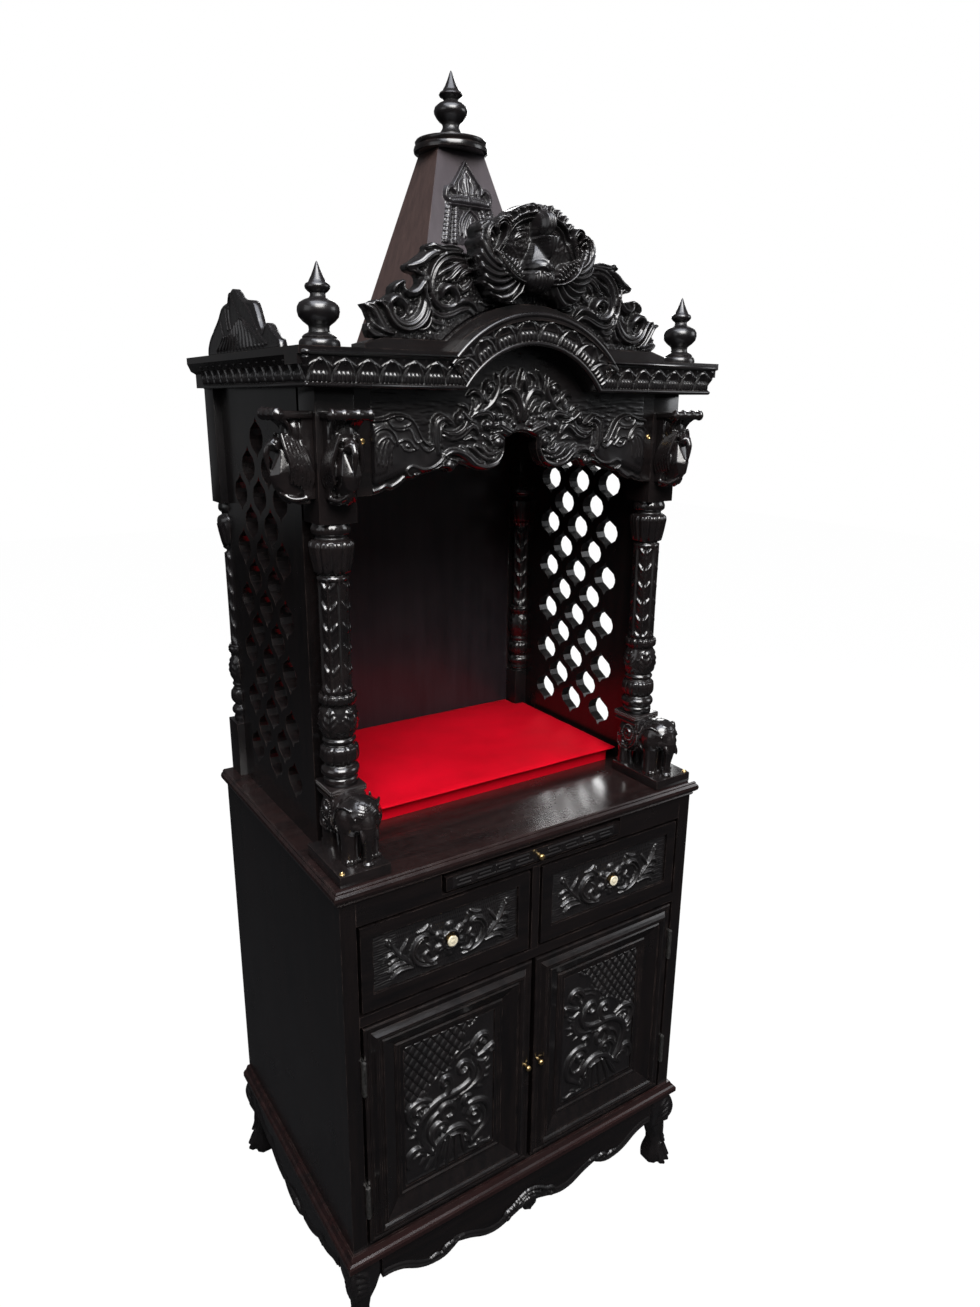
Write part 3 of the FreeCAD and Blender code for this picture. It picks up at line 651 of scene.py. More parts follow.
brass = metalMaterial("agedBrass", {
    "scale": 260.0, "dark": (0.42, 0.27, 0.10, 1), "light": (0.72, 0.53, 0.26, 1),
    "edge": (0.9, 0.74, 0.45, 1), "roughLow": 0.22, "roughHigh": 0.42})
steel = metalMaterial("hingeSteel", {
    "scale": 300.0, "dark": (0.16, 0.155, 0.145, 1), "light": (0.34, 0.33, 0.31, 1),
    "edge": (0.6, 0.6, 0.58, 1), "roughLow": 0.3, "roughHigh": 0.5})


def ivoryMaterial():
    mat, tree, shader, coord = startMaterial("paleKnobFace")
    tone = noiseNode(tree, coord, 180.0, 4.0)
    base = mixColor(tree, rangeNode(tree, tone, 0.3, 0.7), (0.50, 0.44, 0.30, 1), (0.70, 0.66, 0.52, 1))
    dress(tree, shader, {
        "Base Color": base, "Roughness": rangeNode(tree, tone, 0.3, 0.7, 0.25, 0.4), "Coat Weight": 0.3,
        "Normal": bumpOf(tree, tone, 0.05, 0.0003)})
    return mat


ivory = ivoryMaterial()


def velvetMaterial():
    # short red pile with brushed patches
    mat, tree, shader, coord = startMaterial("redVelvet")
    broad = noiseNode(tree, coord, 9.0, 4.0)
    pile = noiseNode(tree, coord, 900.0, 3.0)
    base = mixColor(tree, rangeNode(tree, broad, 0.3, 0.7), (0.33, 0.0004, 0.006, 1), (0.48, 0.0007, 0.010, 1))
    base = mixColor(tree, rangeNode(tree, pile, 0.4, 0.75, 0.0, 0.35), base, (0.30, 0.001, 0.006, 1))
    dress(tree, shader, {
        "Base Color": base, "Roughness": rangeNode(tree, broad, 0.3, 0.7, 0.75, 0.92),
        "Specular IOR Level": 0.05, "Sheen Weight": 0.05, "Sheen Roughness": 0.4,
        "Sheen Tint": (1.0, 0.12, 0.14, 1), "Normal": bumpOf(tree, pile, 0.25, 0.0005)})
    return mat


redVelvet = velvetMaterial()
print("finishes made")

# finishes of the CAD boards that stay as they are
plainBoards = [
    (darkUpright, "side_panels frame_stiles drawer_divider back_posts cabinet_back left_side_screen "
                  "right_side_screen left_door_panel right_door_panel left_door_frame right_door_frame legs "
                  "front_posts spire_cap spire_finial corner_finials elephant_bases brackets"),
    (darkAcross, "bottom_rail middle_rail tray_rail left_drawer_front right_drawer_front tray_front "
                 "front_apron back_apron valance front_cornice crest_base crest"),
    (darkDeep, "side_aprons side_cornices side_crests roof_board"),
    (chamberBack, "upper_back"),
    (redTint, "front_moulding side_mouldings"),
    (topDark, "countertop"),
    (redBrown, "spire_sides"),
    (greyBoard, "spire_front_back"),
    (innerWood, "cabinet_floor dust_board tray_shelf drawer_runners tray_runners left_drawer_box "
                "right_drawer_box tray_board"),
    (brass, "left_drawer_knob right_drawer_knob tray_knob left_door_knob right_door_knob"),
    (steel, "hinge_plates left_door_hinges right_door_hinges"),
    (redVelvet, "platform_cover platform_riser")]
for material, names in plainBoards:
    for n in names.split():
        nodes[n].data.materials.clear()
        nodes[n].data.materials.append(material)
print("boards dressed")


# carved door fields: strokes of the left door, x and z in mm, turned over for the right door
doorCarving = {
    "cell": 1.1, "face": -219.0, "field": (-233, -70, 251, 508), "lattice": (15.5, 22.0), "grooves": 3.0,
    "slim": 0.8, "ground": 1.0, "marks": ((0.22, 2.0, 5.0, 3), (0.1, 1.0, 1.0, 4))}
doorCarving["latticeEdge"] = [
    (-236, 380), (-214, 402), (-200, 404), (-187, 419), (-171, 430), (-152, 434), (-146, 453), (-128, 464),
    (-127, 482), (-120, 494), (-108, 500), (-101, 512), (-236, 512)]
doorCarving["thinLines"] = [
    [(-194, 404), (-187, 419), (-171, 430), (-150, 432)],
    [(-150, 439), (-146, 453), (-130, 461), (-116, 466)],
    [(-128, 468), (-127, 482), (-120, 494), (-108, 499), (-101, 509)],
    [(-206, 396), (-196, 412), (-182, 424)],
    [(-140, 446), (-128, 454), (-114, 456)]]
doorCarving["strokes"] = [
    ("rib", [(-185, 289), (-202, 314), (-210, 341), (-207, 362), (-192, 377), (-171, 386), (-150, 386),
     (-130, 389), (-114, 398), (-107, 414), (-108, 436), (-102, 450)], (5, 6.5, 6, 5, 4),
     (6, 7.5, 7, 7, 5)),
    ("round", [(-176, 293), (-189, 314), (-194, 337), (-187, 355), (-169, 365), (-150, 370), (-134, 371)],
     (2, 3, 2.5, 1), (4, 5.5, 3)),
    ("vein", [(-106, 438), (-113, 452), (-109, 463), (-98, 473), (-87, 470), (-84, 460), (-90, 453)],
     (3.5, 5, 5, 3), (6, 8, 7)),
    ("vein", [(-104, 434), (-92, 437), (-82, 443), (-74, 446), (-71, 438), (-77, 431)], (3, 5, 4, 2),
     (5, 7, 5)),
    ("vein", [(-104, 427), (-92, 420), (-84, 424)], (2, 4, 2), (4, 5, 3)),
    ("vein", [(-100, 452), (-99, 462), (-94, 466)], (2, 4, 3), (5, 8, 6)),
    ("vein", [(-126, 383), (-115, 394), (-112, 411), (-118, 427), (-129, 436), (-138, 431)],
     (3, 5.5, 5.5, 4), (5, 7.5, 7)),
    ("round", [(-138, 431), (-137, 421), (-129, 417), (-123, 422)], (3.5, 4, 3.5), (7, 7, 6)),
    ("vein", [(-169, 384), (-157, 392), (-151, 404), (-154, 418), (-162, 423), (-168, 418)],
     (3, 5.5, 5, 3.5), (5, 7.5, 7)),
    ("round", [(-168, 418), (-167, 409), (-160, 408)], (3.5, 4, 3), (7, 7, 6)),
    ("leaf", [(-102, 424), (-93, 408), (-97, 391), (-112, 381), (-134, 374)], (3, 7, 7, 5, 2),
     (4, 6, 6, 5, 3)),
    ("vein", [(-95, 414), (-85, 416), (-79, 422)], (3, 3.5, 1), (4, 4, 2)),
    ("vein", [(-94, 402), (-84, 401), (-76, 405)], (3, 3.5, 1), (4, 4, 2)),
    ("vein", [(-98, 391), (-88, 388), (-80, 388)], (3, 3.5, 1), (4, 4, 2)),
    ("vein", [(-108, 381), (-100, 375), (-92, 372)], (3, 3.5, 1), (4, 4, 2)),
    ("rib", [(-126, 337), (-118, 349), (-101, 350), (-86, 339), (-80, 317), (-85, 297), (-99, 285),
     (-116, 271)], (5, 6.5, 6, 6, 5, 3), (5, 7, 6.5, 6, 5, 3)),
    ("round", [(-121, 321), (-110, 306), (-96, 305), (-90, 319), (-98, 335)], (2, 3, 3, 2), (3, 4, 4, 3)),
    ("round", [(-118, 330), (-112, 338), (-104, 336), (-104, 328), (-111, 326)], (4, 4.5, 4, 3),
     (6, 8, 7, 6)),
    ("vein", [(-122, 350), (-128, 358), (-124, 368), (-115, 366)], (4, 5, 4, 3), (5, 7, 6)),
    ("vein", [(-187, 390), (-203, 399), (-220, 397), (-228, 385), (-224, 368), (-213, 358), (-206, 366),
     (-212, 377)], (3, 6, 6, 5.5, 4.5, 3), (5, 7, 7, 7, 6)),
    ("vein", [(-190, 382), (-200, 388), (-212, 386), (-217, 378)], (2, 3.5, 3), (4, 6, 5)),
    ("vein", [(-203, 378), (-206, 357), (-217, 348), (-227, 357)], (3, 5, 4, 2), (4, 6, 4)),
    ("vein", [(-208, 350), (-216, 338), (-226, 338)], (4, 4, 1.5), (5, 5, 3)),
    ("vein", [(-181, 300), (-188, 322), (-180, 339), (-166, 341), (-158, 331), (-164, 321)],
     (3, 6, 6, 4.5, 3), (4, 6.5, 7, 6)),
    ("round", [(-172, 318), (-170, 328), (-164, 330)], (3, 3.5, 2.5), (5, 5, 4)),
    ("rib", [(-165, 343), (-172, 356), (-167, 368), (-156, 370), (-146, 359), (-148, 346), (-157, 345)],
     (4, 6, 5.5, 5, 4.5, 3.5), (5, 7, 7, 6.5, 6)),
    ("vein", [(-189, 294), (-204, 309), (-218, 313), (-228, 304), (-230, 289), (-226, 279)],
     (4, 6, 5.5, 4.5, 2), (5, 7, 7, 6, 3)),
    ("vein", [(-192, 288), (-207, 299), (-218, 294)], (3, 4, 2), (4, 5, 3)),
    ("rib", [(-187, 291), (-173, 306), (-158, 316), (-141, 318), (-125, 309), (-117, 293), (-123, 281)],
     (4, 6.5, 7, 6, 5, 3), (5, 7.5, 8, 7.5, 6)),
    ("vein", [(-176, 296), (-194, 290), (-206, 277)], (3.5, 6, 3), (5, 7, 3)),
    ("vein", [(-172, 300), (-186, 276), (-195, 262)], (3.5, 5.5, 4), (6, 7, 4)),
    ("vein", [(-163, 303), (-173, 274), (-178, 254)], (3.5, 5.5, 4), (6, 7, 4)),
    ("vein", [(-153, 304), (-157, 274), (-160, 252)], (3.5, 5.5, 4), (6, 7, 4)),
    ("vein", [(-143, 303), (-143, 276), (-142, 254)], (3.5, 5.5, 4), (6, 7, 4)),
    ("vein", [(-133, 299), (-129, 278), (-126, 260)], (3.5, 5, 3.5), (6, 7, 4)),
    ("vein", [(-124, 292), (-117, 280), (-114, 268)], (3, 4, 3), (5, 6, 4)),
    ("round", [(-156, 309), (-142, 309), (-130, 302)], (1.2, 2.5, 1.2), (9, 9.5, 9)),
    ("leaf", [(-117, 262), (-105, 260), (-95, 262), (-82, 258), (-76, 262)], (2, 4.5, 4, 3.5, 1),
     (3, 5, 4, 3)),
    ("vein", [(-104, 262), (-98, 268), (-90, 268)], (2, 3, 1), (3, 4, 2))]


def latticeGround(g, edge, pitch, depth):
    # crossing grooves that leave small raised diamonds
    uu, vv = np.meshgrid(g["u"], g["v"])
    inside = insideOf(np.asarray(edge, dtype=float), uu, vv)
    wide, tall = pitch
    a, b = uu / wide + vv / tall, uu / wide - vv / tall
    span = 1 / math.hypot(1 / wide, 1 / tall)
    near = np.minimum(np.abs(a - np.round(a)), np.abs(b - np.round(b))) * span
    cut = depth * np.clip(1 - near / 2.1, 0, 1) ** 0.8
    pillow = 0.7 * np.abs(np.sin(np.pi * a) * np.sin(np.pi * b))
    g["h"] = np.where(inside, g["base"] + pillow + 1.0 - cut, g["h"])


def carveDoor(look):
    u0, u1, v0, v1 = look["field"]
    g = patch(u0, u1, v0, v1, look["cell"], look["ground"])
    roughen(g, look["marks"])
    latticeGround(g, look["latticeEdge"], look["lattice"], look["grooves"])
    for line in look["thinLines"]:
        stroke(g, line, 1.8, 2.0)
    carve(g, look["strokes"], (1,), look["slim"])
    # bead along the lower edge
    stroke(g, [(u0 + 4, v0 + 3.2), (u1 - 4, v0 + 3.2)], 1.6, 1.4, straight=True)
    g["h"] = softened(g["h"])
    return g


doorRelief = carveDoor(doorCarving)
leftDoorCarving = sheetMesh("leftDoorCarving", doorRelief, frontOf(doorCarving["face"]))
rightDoorCarving = mirroredCopy(leftDoorCarving, "rightDoorCarving")
finish(leftDoorCarving, "left_door", carvedSoft)
finish(rightDoorCarving, "right_door", carvedSoft)
print("door fields carved", len(leftDoorCarving.data.polygons))

# drawer fronts: a flower round the knob between two scrolls, on a combed ground
drawerCarving = {
    "cell": 1.0, "face": -223.0, "comb": 1.9, "seed": 11, "ground": 0.9, "tall": 0.9, "middle": (155.0, 669.0),
    "recess": (33, 280, 625, 717), "flower": {"petals": 6, "inner": 15.0, "outer": 26.5, "height": 5.6}}
drawerCarving["strokes"] = [
    # scroll beside the flower, its hook and the leaf inside it
    ("round", [(37, 10), (37, 17), (44, 21), (54, 17), (61, 7), (63.5, -3), (60, -15), (51, -25), (37, -31),
     (22, -34)], (1.4, 2, 2.2, 2.4, 2.6, 2.6, 2.6, 2.4, 2.2, 1.4),
     (5, 6.5, 6.5, 6.5, 6.5, 6.5, 6.5, 6.5, 6, 4)),
    ("round", [(42, 14), (50, 12), (56, 5), (58.5, -3), (55, -12), (47, -21), (36, -26)], 1.3,
     (3, 4.6, 4.6, 4.6, 4.6, 4.4, 3)),
    ("vein", [(20, -24), (31, -28), (40, -22), (42, -12), (37, -8)], (1.6, 2.8, 3, 2.6, 1.4),
     (4, 6, 6, 5.5, 4)),
    ("vein", [(30, -18), (34, -11), (33, -3), (38, 4)], (1.4, 2.4, 2.4, 1.2), (3, 4.6, 4.6, 3)),
    # leaves that spring outward from it
    ("round", [(64, -20), (73, -9), (82, 1), (89, 10), (95, 21), (97, 31)], (1.8, 2.6, 2.8, 2.6, 2.4, 1.4),
     (4.5, 6, 6.5, 6.5, 6, 4)),
    ("vein", [(82, 1), (78, 10), (73, 17), (69, 24)], (1.6, 2.8, 2.6, 1.2), (4, 5.6, 5.4, 3)),
    ("vein", [(86, 5), (95, 8), (102, 5), (105, -2)], (1.4, 2.6, 2.6, 1.4), (4, 5.4, 5.2, 3)),
    ("round", [(66, -16), (78, -12), (90, -12), (101, -19)], (1.6, 2.6, 2.8, 1.6), (4.5, 6.4, 6.6, 4.5)),
    ("round", [(62, -25), (76, -22), (88, -24), (96, -32)], (1.6, 2.6, 2.8, 1.6), (4.5, 6, 6.2, 4.5)),
    ("vein", [(84, -4), (93, -4), (100, -8)], (1.2, 2, 1.2), (3, 4.4, 3)),
    ("vein", [(54, 28), (44, 29), (36, 35)], (1.6, 3, 1.6), (4, 6, 4)),
    ("vein", [(26, 17), (32, 23), (31, 31)], (1.6, 2.6, 1.6), (4, 5.5, 4)),
    ("vein", [(98, 22), (103, 28), (101, 34)], (1.4, 2.4, 1.4), (3.6, 5, 3.6))]


def combedGround(g, depth, seed):
    # short strokes of a narrow gouge, upright along the length and level at the two ends
    uu, vv = np.meshgrid(g["u"], g["v"])
    ends = np.minimum(uu - g["u"][0], g["u"][-1] - uu) < 38
    level = softNoise(uu.shape, 9.0, 3.0, seed + 3)
    wobble = 1.1 * softNoise(uu.shape, 9.0, 6.0, seed)
    row = np.floor((vv + 1.5 * softNoise(uu.shape, 14.0, 30.0, seed + 1)) / 7.5)
    phase = (uu + wobble + 1.7 * (row % 2)) / 3.4
    comb = np.abs((phase % 1) - 0.5) * 2
    gap = np.clip(np.abs(((vv / 7.5) % 1) - 0.5) * 2, 0, 1) ** 4
    side = np.abs((((vv + 1.2 * level) / 3.9) % 1) - 0.5) * 2
    comb = np.where(ends, side, comb * (1 - 0.7 * gap))
    g["h"] += depth * (comb ** 1.5 - 0.5)


def carveFlower(g, cu, cv, look):
    for k in range(look["petals"]):
        a = 2 * math.pi * (k + 0.5) / look["petals"]
        c, s = math.cos(a), math.sin(a)
        r0, r1 = look["inner"], look["outer"]
        line = [(cu + c * r, cv + s * r) for r in (r0 - 3, (r0 + r1) / 2, r1 - 4.5)]
        stroke(g, line, (4.5, 7.5, 6.5), (3.5, look["height"], look["height"] * 0.85), "vein")
    ring = [(cu + 14 * math.cos(a), cv + 14 * math.sin(a)) for a in np.linspace(0, 2 * math.pi, 25)]
    stroke(g, ring, 1.8, look["height"] + 1.2, straight=True)


def carveDrawer(look):
    u0, u1, v0, v1 = look["recess"]
    g = patch(u0, u1, v0, v1, look["cell"], look["ground"])
    combedGround(g, look["comb"], look["seed"])
    carve(g, look["strokes"], tall=look["tall"], middle=look["middle"])
    carveFlower(g, *look["middle"], look["flower"])
    g["h"] = softened(g["h"])
    return g


drawerRelief = carveDrawer(drawerCarving)
rightDrawerCarving = sheetMesh("rightDrawerCarving", drawerRelief, frontOf(drawerCarving["face"]))
leftDrawerCarving = mirroredCopy(rightDrawerCarving, "leftDrawerCarving")
finish(leftDrawerCarving, "left_drawer", carvedSoft)
finish(rightDrawerCarving, "right_drawer", carvedSoft)
print("drawer fronts carved", len(leftDrawerCarving.data.polygons))

# valance: an elephant on each side of scrolls that meet in a fleur, left half in mm
valanceCarving = {
    "cell": 1.2, "face": -161.0, "field": (-231, 231, 1306, 1502), "ground": 0.5, "comb": (9.0, 1.4, 21),
    "combMiddle": 1396, "combReach": 34, "cushions": {"elephant": (6.0, 9.0), "ear": (7.5, 7.0)},
    "shoulder": 1452, "arch": [(-130, 1440), (-128, 1487), (-92, 1510), (0, 1525), (92, 1510), (128, 1487),
                               (130, 1440)]}
valanceCarving["elephant"] = [
    (-232, 1402), (-215, 1404), (-205, 1409), (-195, 1411), (-183, 1409), (-172, 1403), (-165, 1392),
    (-160, 1382), (-153, 1374), (-145, 1371), (-143, 1380), (-143, 1396), (-141, 1405), (-133, 1411),
    (-123, 1409), (-116, 1404), (-112, 1399), (-119, 1398), (-126, 1400), (-131, 1395), (-132, 1382),
    (-130, 1370), (-126, 1358), (-131, 1350), (-145, 1341), (-160, 1336), (-174, 1334), (-184, 1337),
    (-194, 1334), (-206, 1330), (-232, 1328)]
valanceCarving["ear"] = [
    (-232, 1376), (-230, 1388), (-222, 1394), (-212, 1395), (-203, 1390), (-198, 1382), (-196, 1373),
    (-200, 1366), (-204, 1357), (-208, 1343), (-214, 1336), (-232, 1336)]
valanceCarving["dots"] = [
    (-181.5, 1371.5, 3.0, 10.0), (-102, 1406, 7.5, 9.5), (-58, 1397, 6.5, 8.5), (-54, 1446, 6.5, 9.0),
    (-14.5, 1398, 5.0, 8.5), (-40, 1374, 8.5, 10.0), (-117, 1345, 8.5, 8.5), (-35, 1408, 3.5, 7.0),
    (-21, 1405, 3.0, 7.0)]
valanceCarving["strokes"] = [
    # trunk
    ("round", [(-136, 1362), (-138, 1376), (-138, 1392), (-136, 1401), (-129, 1405), (-121, 1404),
     (-115, 1400)], (5.5, 6, 6, 5.5, 4.5, 3.5, 2), 8.5),
    # folds of ear, back, mouth and trunk
    ("round", [(-231, 1377), (-229, 1388), (-221, 1393.5), (-212, 1394), (-204, 1389.5), (-199, 1382),
     (-197, 1374)], 1.7, 10.5),
    ("round", [(-225, 1350), (-226, 1364), (-223, 1376), (-215, 1382), (-208, 1382), (-202, 1376)], 1.2,
     9.8),
    ("round", [(-219, 1348), (-220, 1362), (-217, 1374), (-213, 1380)], 1.2, 9.8),
    ("round", [(-213, 1347), (-214, 1360), (-212, 1372), (-209, 1379)], 1.2, 9.8),
    ("round", [(-206, 1350), (-205, 1362), (-204, 1372)], 1.2, 9.6),
    ("round", [(-232, 1403), (-215, 1404.5), (-205, 1408), (-195, 1410), (-183, 1408), (-173, 1402),
     (-166, 1391), (-160, 1380), (-154, 1374), (-147, 1373)], 1.9, 9.4),
    ("round", [(-210, 1405), (-205, 1398), (-195, 1394.5), (-183, 1396), (-176, 1400)], 1.3, 8.8),
    ("round", [(-208, 1401), (-203, 1394), (-191, 1391), (-181, 1393), (-176, 1389), (-173, 1381),
     (-169, 1376), (-164, 1376), (-160, 1379)], 1.3, 8.8),
    ("round", [(-201, 1408), (-193, 1403), (-185, 1407)], 1.2, 8.6),
    ("round", [(-166, 1377), (-160, 1369), (-153, 1364.5), (-147, 1366), (-142, 1370)], 1.6, 9.2),
    ("round", [(-143, 1371), (-143, 1392), (-141, 1404), (-134, 1409.5), (-124, 1408), (-113, 1399.5)], 1.6,
     10.5),
    ("round", [(-130, 1368), (-132, 1382), (-131, 1394), (-126, 1399), (-122, 1397)], 1.5, 10.0),
    ("round", [(-127, 1362), (-130, 1353), (-144, 1343.5), (-160, 1341.5), (-174, 1346), (-182, 1343),
     (-183, 1337), (-177, 1332)], 1.6, 9.2),
    ("round", [(-129, 1347), (-145, 1339), (-160, 1335.5), (-172, 1335)], 1.4, 8.6),
    ("round", [(-194, 1377), (-186, 1379.5), (-178, 1377), (-172, 1370), (-168, 1368)], 1.4, 9.2),
    ("round", [(-192, 1374), (-186, 1366.5), (-176, 1365.5), (-168, 1368)], 1.2, 8.8),
    # scrolls between the elephants
    ("vein", [(-129, 1391), (-118, 1386.5), (-106, 1387), (-96, 1393), (-91, 1401), (-88, 1408)],
     (1.5, 3.4, 3.8, 3.8, 3.4, 2), (4, 8, 8.5, 9, 8)),
    ("vein", [(-126, 1384), (-112, 1380), (-99, 1384), (-90, 1391), (-82, 1396), (-75, 1392), (-72, 1386)],
     (1.5, 3.6, 4.2, 4, 4, 3.4, 2), (4, 7, 8, 8.5, 8, 6)),
    ("round", [(-99, 1414), (-94, 1409), (-87, 1404), (-76, 1400)], (3.2, 3.4, 3, 2), (10, 9, 8, 6)),
    ("vein", [(-86, 1405), (-76, 1411), (-60, 1413.5), (-52, 1409), (-50, 1399), (-54, 1391)],
     (2.5, 4, 4.4, 4.2, 3.6, 2), (6, 9, 9.5, 9, 7)),
    ("vein", [(-88, 1435), (-81, 1440), (-72, 1438), (-68, 1430), (-72, 1420), (-82, 1411)],
     (1.6, 3, 3.6, 3.8, 3.4, 2), (5, 8, 9, 8.5, 6)),
    ("vein", [(-79, 1431), (-76, 1424), (-80, 1417)], (1.4, 3, 1.6), (4, 6.5, 5)),
    ("rib", [(-43, 1462), (-41, 1448), (-45, 1435), (-53, 1424), (-64, 1417), (-76, 1414)],
     (2.5, 3.8, 4.4, 4.6, 4, 2), (8, 9.5, 10, 9.5, 8, 5)),
    ("vein", [(-62, 1443), (-64, 1434), (-58, 1428), (-49, 1432)], (2, 3.4, 3, 1.5), (6, 7.5, 7, 5)),
    ("round", [(-63, 1444), (-61, 1451), (-54, 1454), (-47, 1450)], (1.6, 2.2, 2.2, 1.6), (7, 10, 10, 7)),
    ("rib", [(-36, 1438), (-27, 1443.5), (-16, 1443), (-8, 1434), (-4, 1420), (-4, 1404)],
     (2.2, 4.4, 5.4, 5.4, 4.6, 3), (6, 10, 11, 11, 10, 8)),
    ("vein", [(-30, 1433), (-21, 1431), (-13, 1421), (-9, 1407)], (1.6, 3.4, 3.6, 2), (5, 7.5, 8, 6)),
    ("vein", [(-31, 1424), (-24, 1422), (-17, 1413)], (1.4, 3, 2), (4, 6.5, 5)),
    ("vein", [(-50, 1418), (-44, 1425), (-37, 1421), (-33, 1413)], (1.5, 3.6, 3.6, 2), (5, 7.5, 7, 5)),
    ("vein", [(-46, 1412), (-41, 1406), (-39, 1399)], (2, 3.4, 2), (5, 7, 5)),
    ("vein", [(-50, 1393), (-40, 1397), (-28, 1392), (-15, 1387), (-6, 1389)], (2, 4, 4.4, 3.6, 2),
     (6, 9, 9, 8, 6)),
    ("vein", [(-47, 1387), (-34, 1388), (-22, 1383), (-30, 1378)], (2, 3.4, 3.6, 2), (5, 7.5, 7.5, 5)),
    ("vein", [(-29, 1400), (-24, 1396), (-14, 1391)], (1.6, 2.8, 2), (5, 7, 6)),
    ("rib", [(-49, 1379), (-42, 1383), (-33, 1379), (-29, 1368), (-32, 1355), (-43, 1345), (-60, 1341),
     (-76, 1345), (-90, 1356), (-103, 1362), (-117, 1362), (-127, 1355)],
     (2, 2.8, 3.2, 4.2, 5.2, 5.8, 6, 6, 5.6, 4.8, 4, 2.4),
     (9, 11, 11, 10.5, 10, 10, 10, 10, 10, 9.5, 9, 6)),
    ("vein", [(-98, 1369), (-88, 1361), (-76, 1351), (-62, 1348)], (1.6, 3, 3.2, 1.8), (7, 9.5, 10, 9)),
    ("vein", [(-86, 1369), (-77, 1364), (-68, 1356), (-56, 1352), (-45, 1354)], (1.6, 3, 3.2, 3, 1.6),
     (6, 8.5, 9.5, 9.5, 9)),
    ("vein", [(-75, 1370), (-66, 1366), (-58, 1359), (-47, 1359), (-38, 1363)], (1.6, 3, 3.2, 3, 1.6),
     (6, 8, 8.5, 8.5, 8)),
    ("vein", [(-61, 1372), (-56, 1365), (-50, 1364)], (1.6, 2.8, 1.6), (6, 8, 8)),
    ("round", [(-118, 1354), (-110, 1352), (-107, 1345), (-110, 1338)], (1.6, 2.2, 2.2, 1.4),
     (8, 10, 10, 6)),
    ("vein", [(-62, 1383), (-56, 1379), (-51, 1373)], (1.6, 3, 2), (5, 7, 6)),
    ("vein", [(-92, 1378), (-82, 1381), (-74, 1377)], (1.4, 2.6, 1.4), (4, 6, 4)),
    ("vein", [(-100, 1423), (-92, 1421), (-87, 1416)], (1.2, 2.6, 1.4), (4, 6, 4)),
    ("vein", [(-6, 1444), (-3, 1456), (0, 1470)], (2.6, 4.4, 2), (8, 10, 6)),
    ("vein", [(-20, 1447), (-22, 1459), (-14, 1466)], (2.4, 3.8, 2), (7, 8.5, 5)),
    ("vein", [(-34, 1447), (-33, 1460), (-26, 1470)], (2, 3.6, 2), (6, 8, 5))]


def valanceEdge():
    # lower edge of the board, from its middle out: the CAD outline in scene units
    drops = [(0, 55), (10, 56), (20, 61), (28, 64), (28, 74), (31, 88), (42, 102), (61, 107), (80, 103),
             (98, 96), (104, 97), (109, 104), (116, 107), (124, 102), (141, 105), (161, 109), (172, 114),
             (182, 114), (190, 120), (204, 127), (211, 125), (219, 129), (233, 132)]
    return mirroredOutline([(x, 1443.0 - d) for x, d in curvePoints(drops, 4)])


def carveValance(look):
    g = patch(*look["field"], look["cell"], look["ground"])
    uu, vv = np.meshgrid(g["u"], g["v"])
    # level gouge marks, strongest in the band of the scrolls
    comb = np.clip(1 - np.abs(vv - look["combMiddle"]) / look["combReach"], 0, 1)
    g["h"] += (0.5 + 0.9 * comb) * softNoise(uu.shape, *look["comb"])
    for sign in (1, -1):
        for shape, (height, radius) in look["cushions"].items():
            cushion(g, [(sign * a, b) for a, b in look[shape]], height, radius)
    carve(g, look["strokes"] + [("round", [(u, v), (u + 0.5, v)], *size) for u, v, *size in look["dots"]])
    edge = valanceEdge()
    top = look["field"][3] + 5
    outline = np.array(edge + [(232, top), (-232, top)])
    d, _, _ = edgeDistance(np.array(edge), uu, vv, closed=False)
    inside = insideOf(outline, uu, vv)
    # bead along the lower edge, and a soft fall outside it
    rim = np.exp(-((d - 3.6) / 1.9) ** 2) * 2.6
    g["h"] = np.maximum(g["h"], g["base"] + rim * inside)
    arch = insideOf(np.array(look["arch"]), uu, vv) | (vv < look["shoulder"])
    g["h"] = softened(g["h"])
    fall = np.clip((d - 0.4) / 3.5, 0, 1)
    g["h"] = -1.0 + (g["h"] + 1.0) * np.sqrt(fall)
    return g, inside & (d > 0.6) & arch


valanceRelief, valanceKeep = carveValance(valanceCarving)
valancePiece = sheetMesh("valanceCarving", valanceRelief, frontOf(valanceCarving["face"]), valanceKeep)
finish(valancePiece, "cabinet", carvedDark)
print("valance carved", len(valancePiece.data.polygons))


# solid shapes that are pressed together and skinned, for birds, elephants and paws
def ovalShape(centre, radii, across=18, up=12):
    rows = np.linspace(0, math.pi, up + 1)[1:-1]
    ang = np.arange(across) * 2 * math.pi / across
    pts = [(0, 0, 1)] + [(math.sin(t) * math.cos(a), math.sin(t) * math.sin(a), math.cos(t))
                         for t in rows for a in ang] + [(0, 0, -1)]
    verts = np.array(pts) * np.array(radii) + np.array(centre)
    faces = [(0, 1 + i, 1 + (i + 1) % across) for i in range(across)]
    last = len(pts) - 1
    for r in range(len(rows) - 1):
        a = 1 + r * across
        faces += [(a + i, a + across + i, a + across + (i + 1) % across, a + (i + 1) % across)
                  for i in range(across)]
    a = 1 + (len(rows) - 1) * across
    faces += [(a + i, last, a + (i + 1) % across) for i in range(across)]
    return verts, faces


